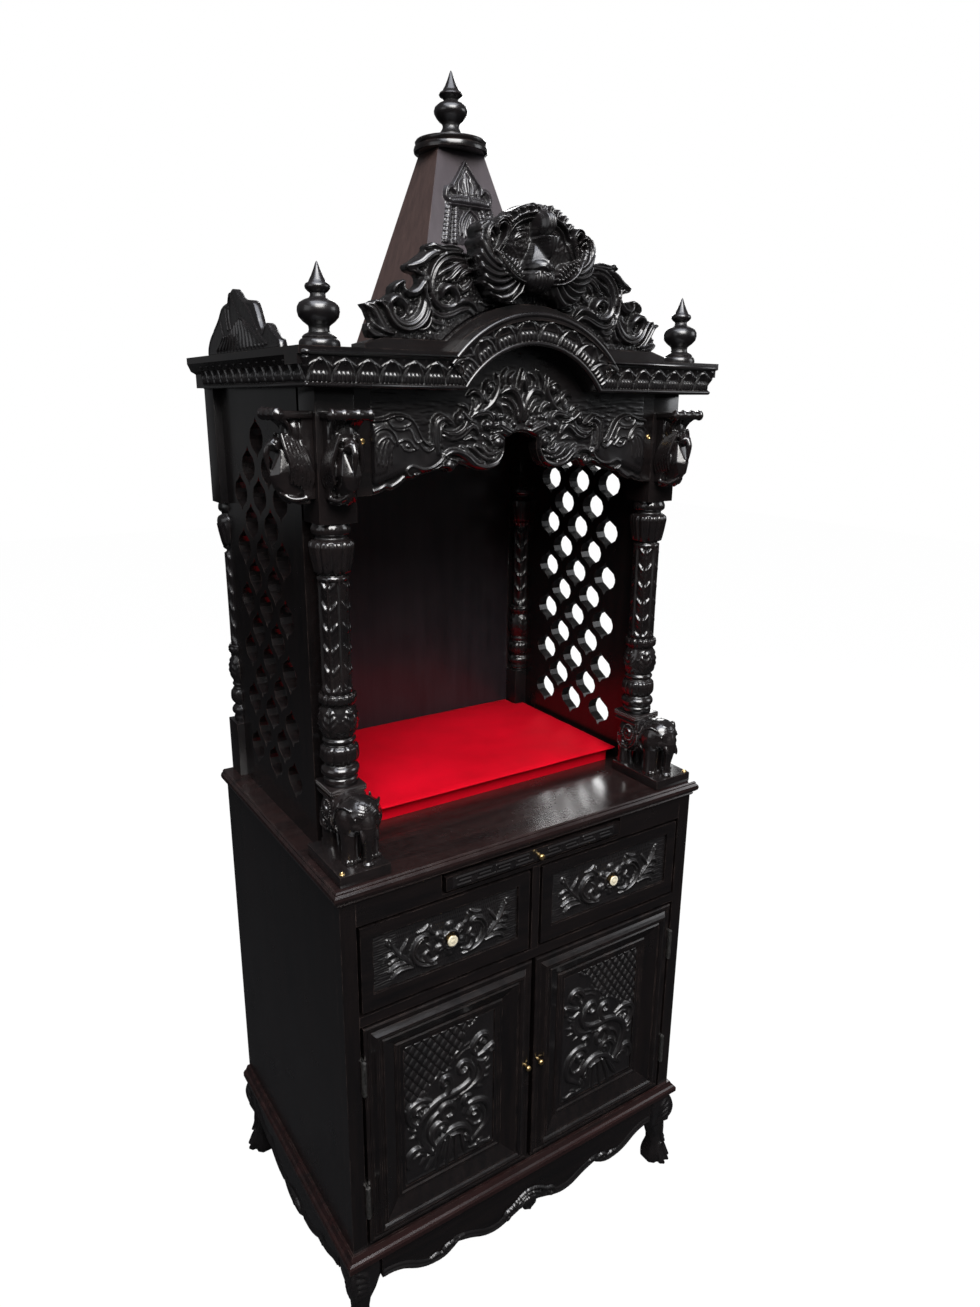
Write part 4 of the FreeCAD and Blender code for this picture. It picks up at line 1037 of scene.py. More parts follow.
def tubeShape(points, radii, sides=10, steps=5, flat=1.0):
    # rounded tube along a smooth line, flat squeezes it upright
    line = curvePoints(points, steps)
    rad = spread(radii, len(line))
    tang = np.gradient(line, axis=0)
    tang /= np.maximum(np.linalg.norm(tang, axis=1, keepdims=True), 1e-9)
    verts = [line[0] - tang[0] * rad[0] * 0.6]
    prev = None
    for p, t, r in zip(line, tang, rad):
        side = np.cross(t, np.array([0.0, 0.0, 1.0]))
        if np.linalg.norm(side) < 0.15:
            side = np.cross(t, np.array([0.3, 1.0, 0.1]))
        side /= np.linalg.norm(side)
        if prev is not None and np.dot(side, prev) < 0:
            side = -side
        prev = side
        high = np.cross(side, t)
        for k in range(sides):
            a = 2 * math.pi * k / sides
            verts.append(p + side * math.cos(a) * r + high * math.sin(a) * r * flat)
    verts.append(line[-1] + tang[-1] * rad[-1] * 0.6)
    n, last = len(line), len(verts) - 1
    faces = [(0, 1 + (k + 1) % sides, 1 + k) for k in range(sides)]
    for j in range(n - 1):
        a = 1 + j * sides
        faces += [(a + k, a + (k + 1) % sides, a + sides + (k + 1) % sides, a + sides + k)
                  for k in range(sides)]
    a = 1 + (n - 1) * sides
    faces += [(a + k, a + (k + 1) % sides, last) for k in range(sides)]
    return np.array(verts), faces


def blockShape(low, high):
    (x0, y0, z0), (x1, y1, z1) = low, high
    verts = np.array([(x0, y0, z0), (x1, y0, z0), (x1, y1, z0), (x0, y1, z0),
                      (x0, y0, z1), (x1, y0, z1), (x1, y1, z1), (x0, y1, z1)], dtype=float)
    faces = [(0, 3, 2, 1), (4, 5, 6, 7), (0, 1, 5, 4), (1, 2, 6, 5), (2, 3, 7, 6), (3, 0, 4, 7)]
    return verts, faces


def hullShape(points):
    # faceted block round the points
    bm = bmesh.new()
    for p in points:
        bm.verts.new(p)
    bmesh.ops.convex_hull(bm, input=bm.verts)
    loose = [v for v in bm.verts if not v.link_faces]
    bmesh.ops.delete(bm, geom=loose, context="VERTS")
    bmesh.ops.recalc_face_normals(bm, faces=bm.faces)
    bm.verts.index_update()
    verts = np.array([tuple(v.co) for v in bm.verts])
    faces = [tuple(v.index for v in f.verts) for f in bm.faces]
    bm.free()
    return verts, faces


def flipX(shapes):
    return [(v * np.array([-1, 1, 1]), [tuple(reversed(f)) for f in fs]) for v, fs in shapes]


def merged(name, shapes):
    verts, faces, base = [], [], 0
    for v, fs in shapes:
        verts.append(v)
        faces += [tuple(i + base for i in f) for f in fs]
        base += len(v)
    return meshObject(name, np.vstack(verts), faces)


def sculpt(name, shapes, voxel):
    # presses the shapes into one skin
    rough = merged(name + "Rough", shapes)
    remesh = rough.modifiers.new("skin", "REMESH")
    remesh.mode, remesh.voxel_size = "VOXEL", voxel * mm
    soft = rough.modifiers.new("soft", "SMOOTH")
    soft.factor, soft.iterations = 0.5, 1
    mesh = evaluatedMesh(rough)
    mesh.name = name
    bpy.data.objects.remove(rough)
    mesh.polygons.foreach_set("use_smooth", [True] * len(mesh.polygons))
    return linked(name, mesh)


def bevelBlock(name, low, high, bevel):
    verts, faces = blockShape(low, high)
    obj = meshObject(name, verts, faces, smooth=False)
    bm = bmesh.new()
    bm.from_mesh(obj.data)
    bmesh.ops.bevel(bm, geom=bm.edges[:], offset=bevel * mm, segments=2, affect="EDGES", profile=0.6)
    bm.to_mesh(obj.data)
    bm.free()
    softEdges(obj, 40)
    return obj


def beads(name, places, radius, across=8, up=6):
    return merged(name, [ovalShape(p, (radius, radius, radius), across, up) for p in places])


# Geometry Nodes: a piece repeated along a path at an even pitch
def repeatTree(name):
    tree = bpy.data.node_groups.new(name, "GeometryNodeTree")
    tree.is_modifier = True
    for label, kind in (("Path", "Geometry"), ("Piece", "Object"), ("Pitch", "Float"), ("Size", "Float"),
                        ("Swing", "Float"), ("Seed", "Int"), ("Finish", "Material")):
        tree.interface.new_socket(label, in_out="INPUT", socket_type="NodeSocket" + kind)
    tree.interface.new_socket("Result", in_out="OUTPUT", socket_type="NodeSocketGeometry")
    new, link = tree.nodes.new, tree.links.new
    gin, gout = new("NodeGroupInput"), new("NodeGroupOutput")
    curve, resample = new("GeometryNodeMeshToCurve"), new("GeometryNodeResampleCurve")
    resample.mode = "LENGTH"
    link(gin.outputs["Path"], curve.inputs[0])
    link(curve.outputs[0], resample.inputs["Curve"])
    link(gin.outputs["Pitch"], resample.inputs["Length"])
    tangent, align = new("GeometryNodeInputTangent"), new("FunctionNodeAlignRotationToVector")
    align.axis = "X"
    link(tangent.outputs[0], align.inputs["Vector"])
    info = new("GeometryNodeObjectInfo")
    link(gin.outputs["Piece"], info.inputs["Object"])
    vary = new("FunctionNodeRandomValue")
    vary.data_type = "FLOAT"
    low, high = new("ShaderNodeMath"), new("ShaderNodeMath")
    low.operation, high.operation = "SUBTRACT", "ADD"
    for n in (low, high):
        link(gin.outputs["Size"], n.inputs[0])
        link(gin.outputs["Swing"], n.inputs[1])
    link(low.outputs[0], vary.inputs[2])
    link(high.outputs[0], vary.inputs[3])
    link(gin.outputs["Seed"], vary.inputs["Seed"])
    spot = new("GeometryNodeInstanceOnPoints")
    link(resample.outputs[0], spot.inputs["Points"])
    link(info.outputs["Geometry"], spot.inputs["Instance"])
    link(align.outputs[0], spot.inputs["Rotation"])
    link(vary.outputs[1], spot.inputs["Scale"])
    real, paint = new("GeometryNodeRealizeInstances"), new("GeometryNodeSetMaterial")
    link(spot.outputs[0], real.inputs[0])
    link(real.outputs[0], paint.inputs["Geometry"])
    link(gin.outputs["Finish"], paint.inputs["Material"])
    link(paint.outputs[0], gout.inputs[0])
    return tree


alongPath = repeatTree("pieceAlongPath")


def repeatAlong(name, points, piece, look, material):
    edges = [(i, i + 1) for i in range(len(points) - 1)]
    mesh = bpy.data.meshes.new(name + "Path")
    mesh.from_pydata((np.asarray(points, dtype=float) * mm).tolist(), edges, [])
    holder = linked(name + "Path", mesh)
    mod = holder.modifiers.new("repeat", "NODES")
    mod.node_group = alongPath
    values = {"Piece": piece, "Pitch": look["pitch"] * mm, "Size": look["size"], "Swing": look["swing"],
              "Seed": look["seed"], "Finish": material}
    for item in alongPath.interface.items_tree:
        if item.item_type == "SOCKET" and item.in_out == "INPUT" and item.name in values:
            mod[item.identifier] = values[item.name]
    mesh = evaluatedMesh(holder)
    mesh.name = name
    obj = linked(name, mesh)
    holder.modifiers.remove(mod)
    bpy.data.objects.remove(holder)
    return obj


# cornice: a band of lotus petals under the top lip, round both sides and over the front arch
corniceLook = {
    "face": -195.0, "side": 327.0, "low": 1445.0, "high": 34.0, "back": 200.0, "cell": 1.08, "lean": 8.5,
    "petal": 31.0, "archHalf": 112.0, "archRise": 58.0, "proud": 4.2, "tall": 25.0, "rim": 4.4, "tip": 3.4,
    "rolls": ((35.0, 8.5, 3.4), (-0.4, 1.6, 3.0)), "sides": 10}
beadRowLook = {"pitch": 5.4, "size": 1.0, "swing": 0.08, "seed": 4, "radii": (1.9, 1.5, 1.7)}


def archPath(half, base, rise, steps=16):
    r = (half ** 2 + rise ** 2) / (2 * rise)
    xs = np.linspace(-half, half, steps)
    return [(x, base + rise - r + math.sqrt(r * r - x * x)) for x in xs]


def bandPath(look):
    # the band's lower line: place, up, outward, petal count so far
    face, side, low, step = look["face"], look["side"], look["low"], look["cell"]
    arch = np.array(archPath(look["archHalf"], low, look["archRise"], 400))
    runs = [([(-side, look["back"], low), (-side, face, low)], (-1, 0, 0)),
            ([(-side, face, low), (-look["archHalf"], face, low)], (0, -1, 0)),
            ([(x, face, z) for x, z in arch], (0, -1, 0)),
            ([(look["archHalf"], face, low), (side, face, low)], (0, -1, 0)),
            ([(side, face, low), (side, look["back"], low)], (1, 0, 0))]
    place, out, count, total = [], [], [], 0.0
    for points, outward in runs:
        p = np.array(points, dtype=float)
        seg = np.linalg.norm(np.diff(p, axis=0), axis=1)
        s = np.concatenate([[0], np.cumsum(seg)])
        n = max(2, int(s[-1] / step))
        petals = round(s[-1] / look["petal"])
        t = np.linspace(0, s[-1], n)
        if out and out[-1] != outward:
            for k in range(1, 6):
                a = k / 6 * math.pi / 2
                o = np.array(out[-1]) * math.cos(a) + np.array(outward) * math.sin(a)
                place.append(p[0])
                out.append(tuple(o))
                count.append(total)
        fresh = not out or out[-1] != outward
        for k in t if fresh else t[1:]:
            place.append([np.interp(k, s, p[:, i]) for i in range(3)])
            out.append(outward)
            count.append(total + petals * k / s[-1])
        total += petals
    place, out, count = np.array(place), np.array(out, dtype=float), np.array(count)
    tang = np.gradient(place, axis=0)
    still = np.linalg.norm(tang, axis=1) < 1e-6
    tang[still] = (1, 0, 0)
    up = np.stack([-tang[:, 2], 0 * tang[:, 2], np.hypot(tang[:, 0], tang[:, 1])], 1)
    onFront = np.abs(out[:, 1]) > 0.99
    up[~onFront] = (0, 0, 1)
    up /= np.linalg.norm(up, axis=1, keepdims=True)
    kernel = np.ones(9) / 9
    pad = np.pad(up, ((4, 4), (0, 0)), mode="edge")
    up = np.stack([np.convolve(pad[:, i], kernel, mode="valid") for i in range(3)], 1)
    up /= np.linalg.norm(up, axis=1, keepdims=True)
    return place, up, out, count


def petalHeight(look, q, v):
    # q counts petals along the band, v is the height over the band's lower line
    t = (v - 3.0) / look["tall"]
    s = (q % 1) * 2 - 1
    tt = np.clip(t, 0, 1)
    reach = 0.95 * np.clip(1 - tt ** 2.1, 0, 1) ** 0.6 + 1e-3
    k = np.abs(s) / reach
    rim = look["rim"] * np.exp(-((k - 0.88) / 0.11) ** 2)
    low = np.exp(-((t - 0.2) / 0.27) ** 4)
    teeth = look["proud"] * low * (0.35 + 0.65 * np.abs(np.cos(s * math.pi * 2.75))) * (k < 0.84)
    blade = 1.9 * np.clip(t - 0.35, 0, 1) * np.clip(1 - k, 0, 1)
    tip = look["tip"] * np.exp(-((s * look["petal"] / 2) ** 2 + ((t - 0.93) * look["tall"]) ** 2) / 9.0)
    inside = np.maximum(np.maximum(rim, teeth), 0.5 + blade)
    tongue = 2.6 * np.exp(-((k - 1.32) / 0.15) ** 2) + 2.0 * np.exp(-((np.abs(s) - 1) / 0.08) ** 2)
    outside = np.clip(tongue, 0, 3.2) * np.clip(t * 2.2 - 0.6, 0, 1)
    h = np.where((k < 1) & (t > -0.05) & (t < 1), inside, outside) + tip
    return np.where((t < 0.0) | (t > 1.08), 0.3, h)


def makeCornice(look):
    place, up, out, count = bandPath(look)
    nv = int(look["high"] / look["cell"]) + 1
    v = np.linspace(0, look["high"], nv)
    q, vv = np.meshgrid(count, v)
    h = softened(petalHeight(look, q, vv)) + look["lean"] * (vv / look["high"]) ** 1.6 + 0.4
    h[0], h[-1], h[:, 0], h[:, -1] = -1.0, -1.0, -1.0, -1.0
    verts = place[None] + up[None] * vv[..., None] + out[None] * h[..., None]
    band = quadMesh("corniceBand", verts.reshape(-1, 3), gridQuads(nv, len(count), False))
    rolls = []
    a = np.arange(look["sides"]) * 2 * math.pi / look["sides"]
    for k, (rise, reach, radius) in enumerate(look["rolls"]):
        core = place + up * rise + out * reach
        ring = (core[:, None] + up[:, None] * (radius * np.sin(a))[None, :, None]
                + out[:, None] * (radius * np.cos(a))[None, :, None])
        skin = gridQuads(len(core), look["sides"], True)
        rolls.append(mended(quadMesh("corniceRoll%d" % k, ring.reshape(-1, 3), skin), fill=True))
    bead = meshObject("beadPiece", *ovalShape((0, 0, 0), beadRowLook["radii"], across=6, up=4))
    line = place + up * 2.3 + out * 1.3
    keep = np.linalg.norm(np.diff(line, axis=0), axis=1) > 0.05
    row = repeatAlong("beadRow", line[:-1][keep], bead, beadRowLook, carvedDark)
    bpy.data.objects.remove(bead)
    return joined("cornicePetals", [band, row] + rolls)


cornicePetals = makeCornice(corniceLook)
finish(cornicePetals, "cabinet", carvedDark)
print("cornice petals", len(cornicePetals.data.polygons))

# crest board: big scrolls and leaf tips over a stippled ground, and a bird in the middle
roofTop = 1487.0
crestLook = {"cell": 1.1, "front": -169.0, "back": -155.0, "field": (-242, 242, 1500, 1676),
             "foot": (132, roofTop + 14, 51, 15), "marks": ((1.1, 1.7, 1.7, 31),)}
crestLook["half"] = [
    (0, 187), (18, 184), (34, 177), (44, 165), (50, 153), (56, 139), (66, 125), (78, 119), (88, 119),
    (100, 122), (118, 127), (138, 125.5), (146, 128), (154, 124), (155, 118), (163, 112), (174, 104),
    (182, 100), (181, 95), (176, 92), (167, 90), (164, 81), (171, 74), (180, 70.5), (186, 73), (184, 81),
    (189, 82.5), (199, 76.5), (202, 73), (203, 66), (206, 64), (213, 59), (219, 56.5), (225, 57.5),
    (231, 54), (241, 52), (236, 46), (233, 39), (230, 32), (235, 30), (236, 22), (232, 14)]
crestLook["strokes"] = [
    # lower scroll: its rim, its band and the comma at its end
    ("round", [(-228, 1541), (-219, 1541), (-212, 1534), (-206, 1523), (-197, 1515), (-184, 1511.5),
     (-170, 1515), (-159, 1524), (-153, 1536), (-152, 1549)], 2.1,
     (7, 10, 11.5, 12, 12, 12, 12, 12, 11, 9)),
    ("rib", [(-156, 1554), (-158, 1540), (-164, 1528), (-174, 1519.5), (-186, 1517), (-197, 1521),
     (-205, 1531), (-207, 1541)], (3, 5, 6, 6.5, 6.5, 6, 5, 4), (7, 9.5, 10.5, 10.5, 10.5, 10.5, 10.5, 11)),
    ("round", [(-205, 1533), (-208, 1541), (-202, 1547), (-194, 1546.5), (-187, 1541), (-185, 1533)],
     (3.5, 5, 5.5, 5.5, 4.6, 2), (10, 13, 14, 14, 12.5, 9)),
    ("vein", [(-200, 1527), (-193, 1524), (-186, 1528), (-186, 1535)], (2.4, 2.8, 2.6, 1.6), (8, 9, 9, 7)),
    ("round", [(-193, 1533), (-192.5, 1533)], 3.2, 8),
    ("round", [(-166, 1513), (-157, 1515), (-151, 1524), (-150, 1538)], (1.6, 3, 3, 1.6), (6, 9.5, 9.5, 7)),
    # leaf lobes of the lower corner
    ("vein", [(-239, 1539), (-229, 1536), (-221, 1525), (-212, 1512), (-203, 1507)], (2.5, 6, 6.5, 5, 2),
     (6, 8.5, 9, 8, 5)),
    ("round", [(-233, 1522), (-225, 1514), (-213, 1508.5), (-200, 1507)], (1.4, 1.8, 1.8, 1.2),
     (6, 8.5, 8.5, 6)),
    ("vein", [(-235, 1511), (-226, 1505.5), (-214, 1504)], (2.5, 4, 2), (6, 7, 5)),
    ("round", [(-226, 1543), (-220, 1542), (-214, 1544)], (1.6, 2.2, 1.6), (9, 11, 8)),
    # hook leaf over the lower scroll
    ("round", [(-201, 1557), (-197, 1563), (-188, 1568)], (4, 4.6, 2.6), (8, 10, 9)),
    ("rib", [(-186, 1567), (-187, 1561), (-183, 1556), (-176, 1554.5), (-168, 1558), (-161, 1566),
     (-156, 1575)], (2.4, 3.4, 4.4, 5, 5.4, 5, 3), (9, 11, 12, 12, 12, 11, 9)),
    ("round", [(-160, 1582), (-158.5, 1566), (-156.5, 1552), (-152, 1540), (-149, 1530)],
     (2, 2.4, 2.4, 2.4, 1.6), 11),
    # upper scroll: rim, long S band with a tail, comma at its end
    ("round", [(-100, 1604.5), (-118, 1605), (-134, 1600), (-146, 1589), (-152, 1575), (-153, 1560)],
     (1.6, 2, 2.2, 2.2, 2.2, 1.8), (9, 11.5, 12, 12, 12, 11)),
    ("rib", [(-100, 1599), (-118, 1599), (-132, 1594.5), (-142, 1584), (-147, 1570), (-148, 1556),
     (-143, 1546.5), (-133, 1541), (-121, 1541.5), (-112, 1546.5), (-100, 1551), (-89, 1550), (-80, 1541)],
     (2.6, 4.6, 5, 5, 4.6, 4.6, 4.6, 4.6, 4.6, 4.6, 4.4, 3.6, 1.6),
     (8, 10, 11, 11, 11, 11, 11, 11, 11, 11, 10, 9, 6)),
    ("round", [(-134, 1553), (-132, 1561), (-125, 1565), (-117, 1562), (-112.5, 1555), (-114, 1547)],
     (2.2, 4.4, 5.2, 5.2, 4.8, 3.6), (9, 13, 14, 14, 13, 10)),
    ("vein", [(-130, 1549), (-123, 1547), (-119, 1552)], (2, 2.6, 1.6), (7, 8.5, 7)),
    ("round", [(-124, 1555), (-123.5, 1555)], 3, 8),
    ("vein", [(-151, 1545), (-146, 1535.5), (-135, 1531), (-120, 1533.5), (-106, 1539.5), (-94, 1541.5),
     (-84, 1535)], (2.4, 4, 4.4, 4.4, 4, 3.4, 1.6), (7, 9, 9, 9, 8.5, 8, 5)),
    ("vein", [(-150, 1531), (-144, 1524), (-135, 1522.5), (-128, 1528)], (2, 3.8, 3.8, 1.6),
     (6, 8.5, 8.5, 6)),
    ("vein", [(-149, 1520), (-142, 1515.5), (-136, 1518)], (1.8, 3.2, 1.8), (5, 7.5, 5)),
    # leaf tips of the upper corner
    ("rib", [(-182, 1585), (-172, 1587), (-162, 1591), (-153, 1598), (-142, 1603.5), (-128, 1604.5)],
     (2, 4.6, 5.4, 5.4, 4.6, 3), (7, 10.5, 12, 12, 11, 9)),
    ("vein", [(-180, 1582), (-170, 1581), (-162, 1578)], (2, 4, 2.4), (6, 8, 6)),
    ("rib", [(-154, 1609), (-145, 1611), (-135, 1607.5), (-120, 1608), (-104, 1609)], (2, 4.6, 5, 4.4, 3),
     (8, 12, 13, 12, 10)),
    ("round", [(-148, 1614), (-138, 1611.5), (-122, 1612.5), (-104, 1611)], (1.6, 2.4, 2.4, 2),
     (9, 12, 12, 10)),
    # flame leaves inside the upper scroll
    ("vein", [(-128, 1573), (-121, 1576), (-114, 1583), (-106, 1589), (-96, 1592)], (1.4, 3.8, 4.4, 4, 2),
     (6, 10, 11, 10, 7)),
    ("rib", [(-141, 1574), (-133, 1582), (-121, 1588), (-110, 1594), (-98, 1597)], (1.6, 3.4, 4, 3.4, 2),
     (5, 8.5, 9, 8, 6)),
    ("vein", [(-110, 1573), (-105, 1580), (-97, 1585), (-87, 1586)], (1.6, 3.6, 3.8, 2), (6, 9, 9, 6)),
    ("vein", [(-107, 1569), (-102, 1563), (-95, 1566), (-88, 1574)], (1.6, 3.2, 3.4, 2), (5, 8, 8, 6)),
    ("round", [(-74, 1551), (-66, 1548), (-56, 1549)], (1.6, 2.6, 1.6), (5, 6, 5))]


def carveCrest(look):
    half = [(x, roofTop + h) for x, h in curvePoints(look["half"], 2)]
    outline = mirroredOutline(half) + archPath(*look["foot"])[::-1]
    g = patch(*look["field"], look["cell"])
    roughen(g, look["marks"])
    carve(g, look["strokes"])
    g["h"] = softened(g["h"])
    return boardMesh("crestBoard", g, outline, frontOf(look["front"]), frontOf(look["back"]), round=2.5)


crestPiece = carveCrest(crestLook)
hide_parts("crest")
finish(crestPiece, "cabinet", carvedDark)
print("crest carved", len(crestPiece.data.polygons))

# bird on the crest: u across, v up from the breast, heights out from the crest face, right half given
birdLook = {"cell": 1.0, "middle": 1590.0, "front": -183.0, "back": -166.0, "field": (-96, 96, -43, 83)}
birdLook["half"] = [
    (0, 79), (15, 80), (29, 76), (41, 70), (49, 63), (58, 62), (66, 57), (76, 56), (86, 53), (92, 45),
    (91, 37), (96, 29), (92, 20), (95, 12), (90, 5), (91, -3), (85, -9), (84, -18), (77, -22), (73, -31),
    (65, -33), (59, -39), (50, -38), (42, -41), (36, -35), (26, -28), (12, -26), (0, -26)]
birdLook["strokes"] = [
    # wing feathers
    ("ribbon", [(60, 6), (69, 8), (78, 14), (86, 24), (91, 36), (88, 46)], (4, 5, 6, 6, 5, 2.6),
     (23, 24, 24, 23, 22, 18)),
    ("ribbon", [(56, 0), (66, 0), (77, 5), (87, 14), (94, 28)], (4, 5.4, 6.2, 5.6, 2.4),
     (23, 24, 23, 21, 17)),
    ("ribbon", [(52, -4), (63, -6), (75, -4), (86, 2), (93, 12)], (4, 5.4, 6.2, 5.6, 2.4),
     (23, 23, 22, 20, 16)),
    ("ribbon", [(47, -9), (58, -13), (70, -13), (81, -9), (89, -3)], (4, 5.4, 6.2, 5.6, 2.4),
     (22, 22, 21, 19, 15)),
    ("ribbon", [(41, -13), (52, -20), (63, -23), (74, -21), (82, -17)], (4, 5.4, 6, 5.4, 2.4),
     (21, 21, 20, 18, 14)),
    ("ribbon", [(34, -15), (43, -26), (53, -31), (63, -32), (71, -29)], (3.6, 5, 5.8, 5, 2.4),
     (20, 20, 19, 17, 13)),
    ("ribbon", [(26, -16), (32, -28), (40, -36), (49, -39), (57, -37)], (3.4, 4.6, 5.4, 4.6, 2.2),
     (19, 19, 18, 16, 12)),
    # wing bone
    ("round", [(24, -14), (36, -12), (47, -7), (57, 1), (64, 11), (70, 20)], (2, 2.4, 2.6, 2.6, 2.2, 1.6),
     (22, 24.5, 25.5, 26, 25, 22)),
    # loops over the wing
    ("vein", [(60, 4), (70, 10), (79, 20), (83, 32), (81, 43), (74, 49), (69, 45)],
     (2, 3, 3.6, 3.8, 3.8, 3.2, 2), (18, 21, 23, 24, 24, 23, 20)),
    ("vein", [(70, 16), (77, 26), (79, 36), (75, 42), (71, 37), (72, 28)], (1.4, 2, 2.4, 2.4, 2, 1.4),
     (16, 18, 19, 19, 17, 15)),
    ("vein", [(65, 19), (59, 29), (54, 38), (53, 47), (59, 54), (66, 52), (68, 45), (64, 40)],
     (2, 3, 3.6, 4.2, 4.6, 4.2, 3, 2), (17, 21, 24, 26, 27, 26, 24, 20)),
    ("vein", [(60, 18), (53, 28), (48, 38)], (1.6, 2.4, 1.8), (14, 17, 15)),
    # wreath of two rims and its leaves
    ("ribbon", [(50, 44), (43, 55), (31, 63), (15, 67), (0, 68)], (2.6, 3.4, 3.8, 3.8, 3.6),
     (16, 21, 23, 24, 24)),
    ("ribbon", [(45, 40), (38, 51), (27, 58), (12, 62), (0, 62)], (2, 2.8, 3, 3, 2.6),
     (12, 16, 18, 19, 19)),
    ("vein", [(36, 36), (28, 42), (18, 44)], (2, 4, 2), (9, 13, 10)),
    ("vein", [(38, 46), (28, 50), (16, 51)], (2, 4, 2), (9, 13, 10)),
    ("vein", [(46, 56), (52, 62), (58, 61)], (4, 5, 2), (20, 21, 12)),
    ("vein", [(36, 63), (41, 70), (46, 71)], (4, 5.5, 2), (22, 23, 13)),
    ("vein", [(24, 68), (29, 75), (36, 74)], (4, 5.5, 2), (24, 24, 14)),
    ("vein", [(12, 71), (16, 78), (23, 76)], (4, 5.5, 2.4), (25, 25, 15)),
    ("vein", [(2, 72), (5, 78), (10, 76)], (4, 4.5, 2.4), (26, 25, 15))]


def carveBird(look):
    outline = mirroredOutline(curvePoints(look["half"], 3))[:-1]
    g = patch(*look["field"], look["cell"])
    uu, vv = np.meshgrid(g["u"], g["v"])
    au = np.abs(uu)
    # stippled ground that rises towards the head
    g["h"] += 2.5 + 0.8 * softNoise(uu.shape, 2.0, 2.0, 71)
    g["h"] += 5.0 * np.clip((vv - 14) / 14, 0, 1)
    # basket weave between the breast and the wing bone, stepped bars across it
    weave = insideOf(np.array([(27, -11), (36, -9), (47, -3), (57, 5), (64, 15), (69, 22), (60, 19), (50, 15),
                               (40, 13), (33, 7), (29, -2)]), au, vv)
    a, b = ((au * 0.8 - vv) / 11.0) % 1, ((au + vv * 0.8) / 6.6) % 1
    bar = np.clip(np.minimum(b, 1 - b) * 7 - 0.9, 0, 1) * np.clip(np.minimum(a, 1 - a) * 9, 0, 1)
    g["h"] = np.where(weave, 15 + 6.5 * bar, g["h"])
    carve(g, look["strokes"])

    def swell(h, cu, cv, ru, rv, high, power=2.0):
        s = np.abs((uu - cu) / ru) ** power + np.abs((vv - cv) / rv) ** power
        return np.maximum(h, high * np.clip(1 - s, 0, 1) ** 0.5)
    h = swell(g["h"], 0, -8, 24, 19, 33)
    h = np.where((vv < -2) & (au < 19), h + 1.3 * np.cos(uu * 1.25), h)
    h = swell(h, 0, 6, 22, 14, 36)
    # throat with flat cheeks, narrow under the head
    throat = 36 - 0.95 * au - 0.016 * (vv - 6) ** 2
    h = np.where((vv > 2) & (vv < 34) & (au < 22 - 0.35 * (vv - 2)), np.maximum(h, throat), h)
    h = swell(h, 0, 34, 11, 16, 27)
    h = swell(h, 0, 56, 12.5, 19, 42, 2.6)
    # two wavy collars that dip in the middle
    wave = 2.2 + 2.4 * np.exp(-((au - 8.5) / 4.5) ** 2) - 2.6 * np.exp(-(au / 3.0) ** 2)
    for drop in (0, 5.5):
        h = h + 2.0 * np.exp(-((vv - wave + drop) / 1.4) ** 2) * (au < 23)
    crown = (vv > 39) & (vv < 74) & (au < 12.4)
    h = np.where(crown, h + 4.4 * np.abs(np.cos(uu / 5.0 * math.pi)) - 3.4, h)
    # beak: a wide folded root, then a wedge with steep cheeks
    t = np.clip((41 - vv) / 27, 0, 1)
    wide = 9.0 * (1 - t) ** 0.75 + 0.8
    beak = (vv < 41) & (vv > 13) & (au < wide)
    shape = 47 - 8 * t * t - 2.2 * np.exp(-(uu / 0.9) ** 2) - 0.25 * au
    h = np.where(beak, np.maximum(h, shape), h)
    g["h"] = softened(h)
    return boardMesh("crestBird", g, outline, frontOf(look["front"], look["middle"]),
                     frontOf(look["back"], look["middle"]), round=3.0, drop=3.5)


bird = carveBird(birdLook)
finish(bird, "cabinet", carvedDark)
print("bird carved", len(bird.data.polygons))

# front posts: carved leaves on a turned shaft
postLook = {
    "x": 278.0, "y": -135.0, "low": 916.0, "high": 1277.0, "segments": 96, "step": 1.5, "tier": 28.6,
    "shaft": (1050.0, 1205.0), "head": 26.0, "roofLow": 1465.0}
postLook["rows"] = [
    (24, 0), (24, 8), (23, 10), (21, 11.5), (25, 14), (27, 20), (25, 25), (21.5, 28), (20.5, 30), (23, 32),
    (26.5, 38), (27, 46), (25.5, 54), (22, 58), (20.5, 60), (23, 63), (23, 66), (20.5, 69), (22.5, 74),
    (25.5, 84), (26, 94), (24, 106), (22, 112), (21.5, 116), (24.5, 120), (25, 127), (23.5, 132), (21, 135),
    (21, 290), (21.5, 293), (23.5, 300), (26, 312), (28, 324), (28.8, 332), (26.5, 338), (21, 341),
    (20.5, 344), (25, 348), (25.8, 353), (25, 357), (24, 359), (24, 361)]


def leafShape(s, t, tip=0.62):
    # one pointed leaf, s across from -1 to 1, t up from 0 to 1: rim, ribs and a middle vein
    reach = np.clip(1 - t ** 2.4, 0, 1) ** tip * np.clip(0.55 + 1.6 * t, 0, 1) + 1e-3
    k = np.abs(s) / reach
    body = np.sqrt(np.clip(1 - k ** 4, 0, 1))
    vein = 0.4 * np.exp(-(s / 0.12) ** 2)
    ribs = 0.16 * np.cos(2 * math.pi * (t * 4.0 - np.abs(s) * 1.6))
    return np.where(k < 1, body * (0.9 + ribs) - vein, 0)


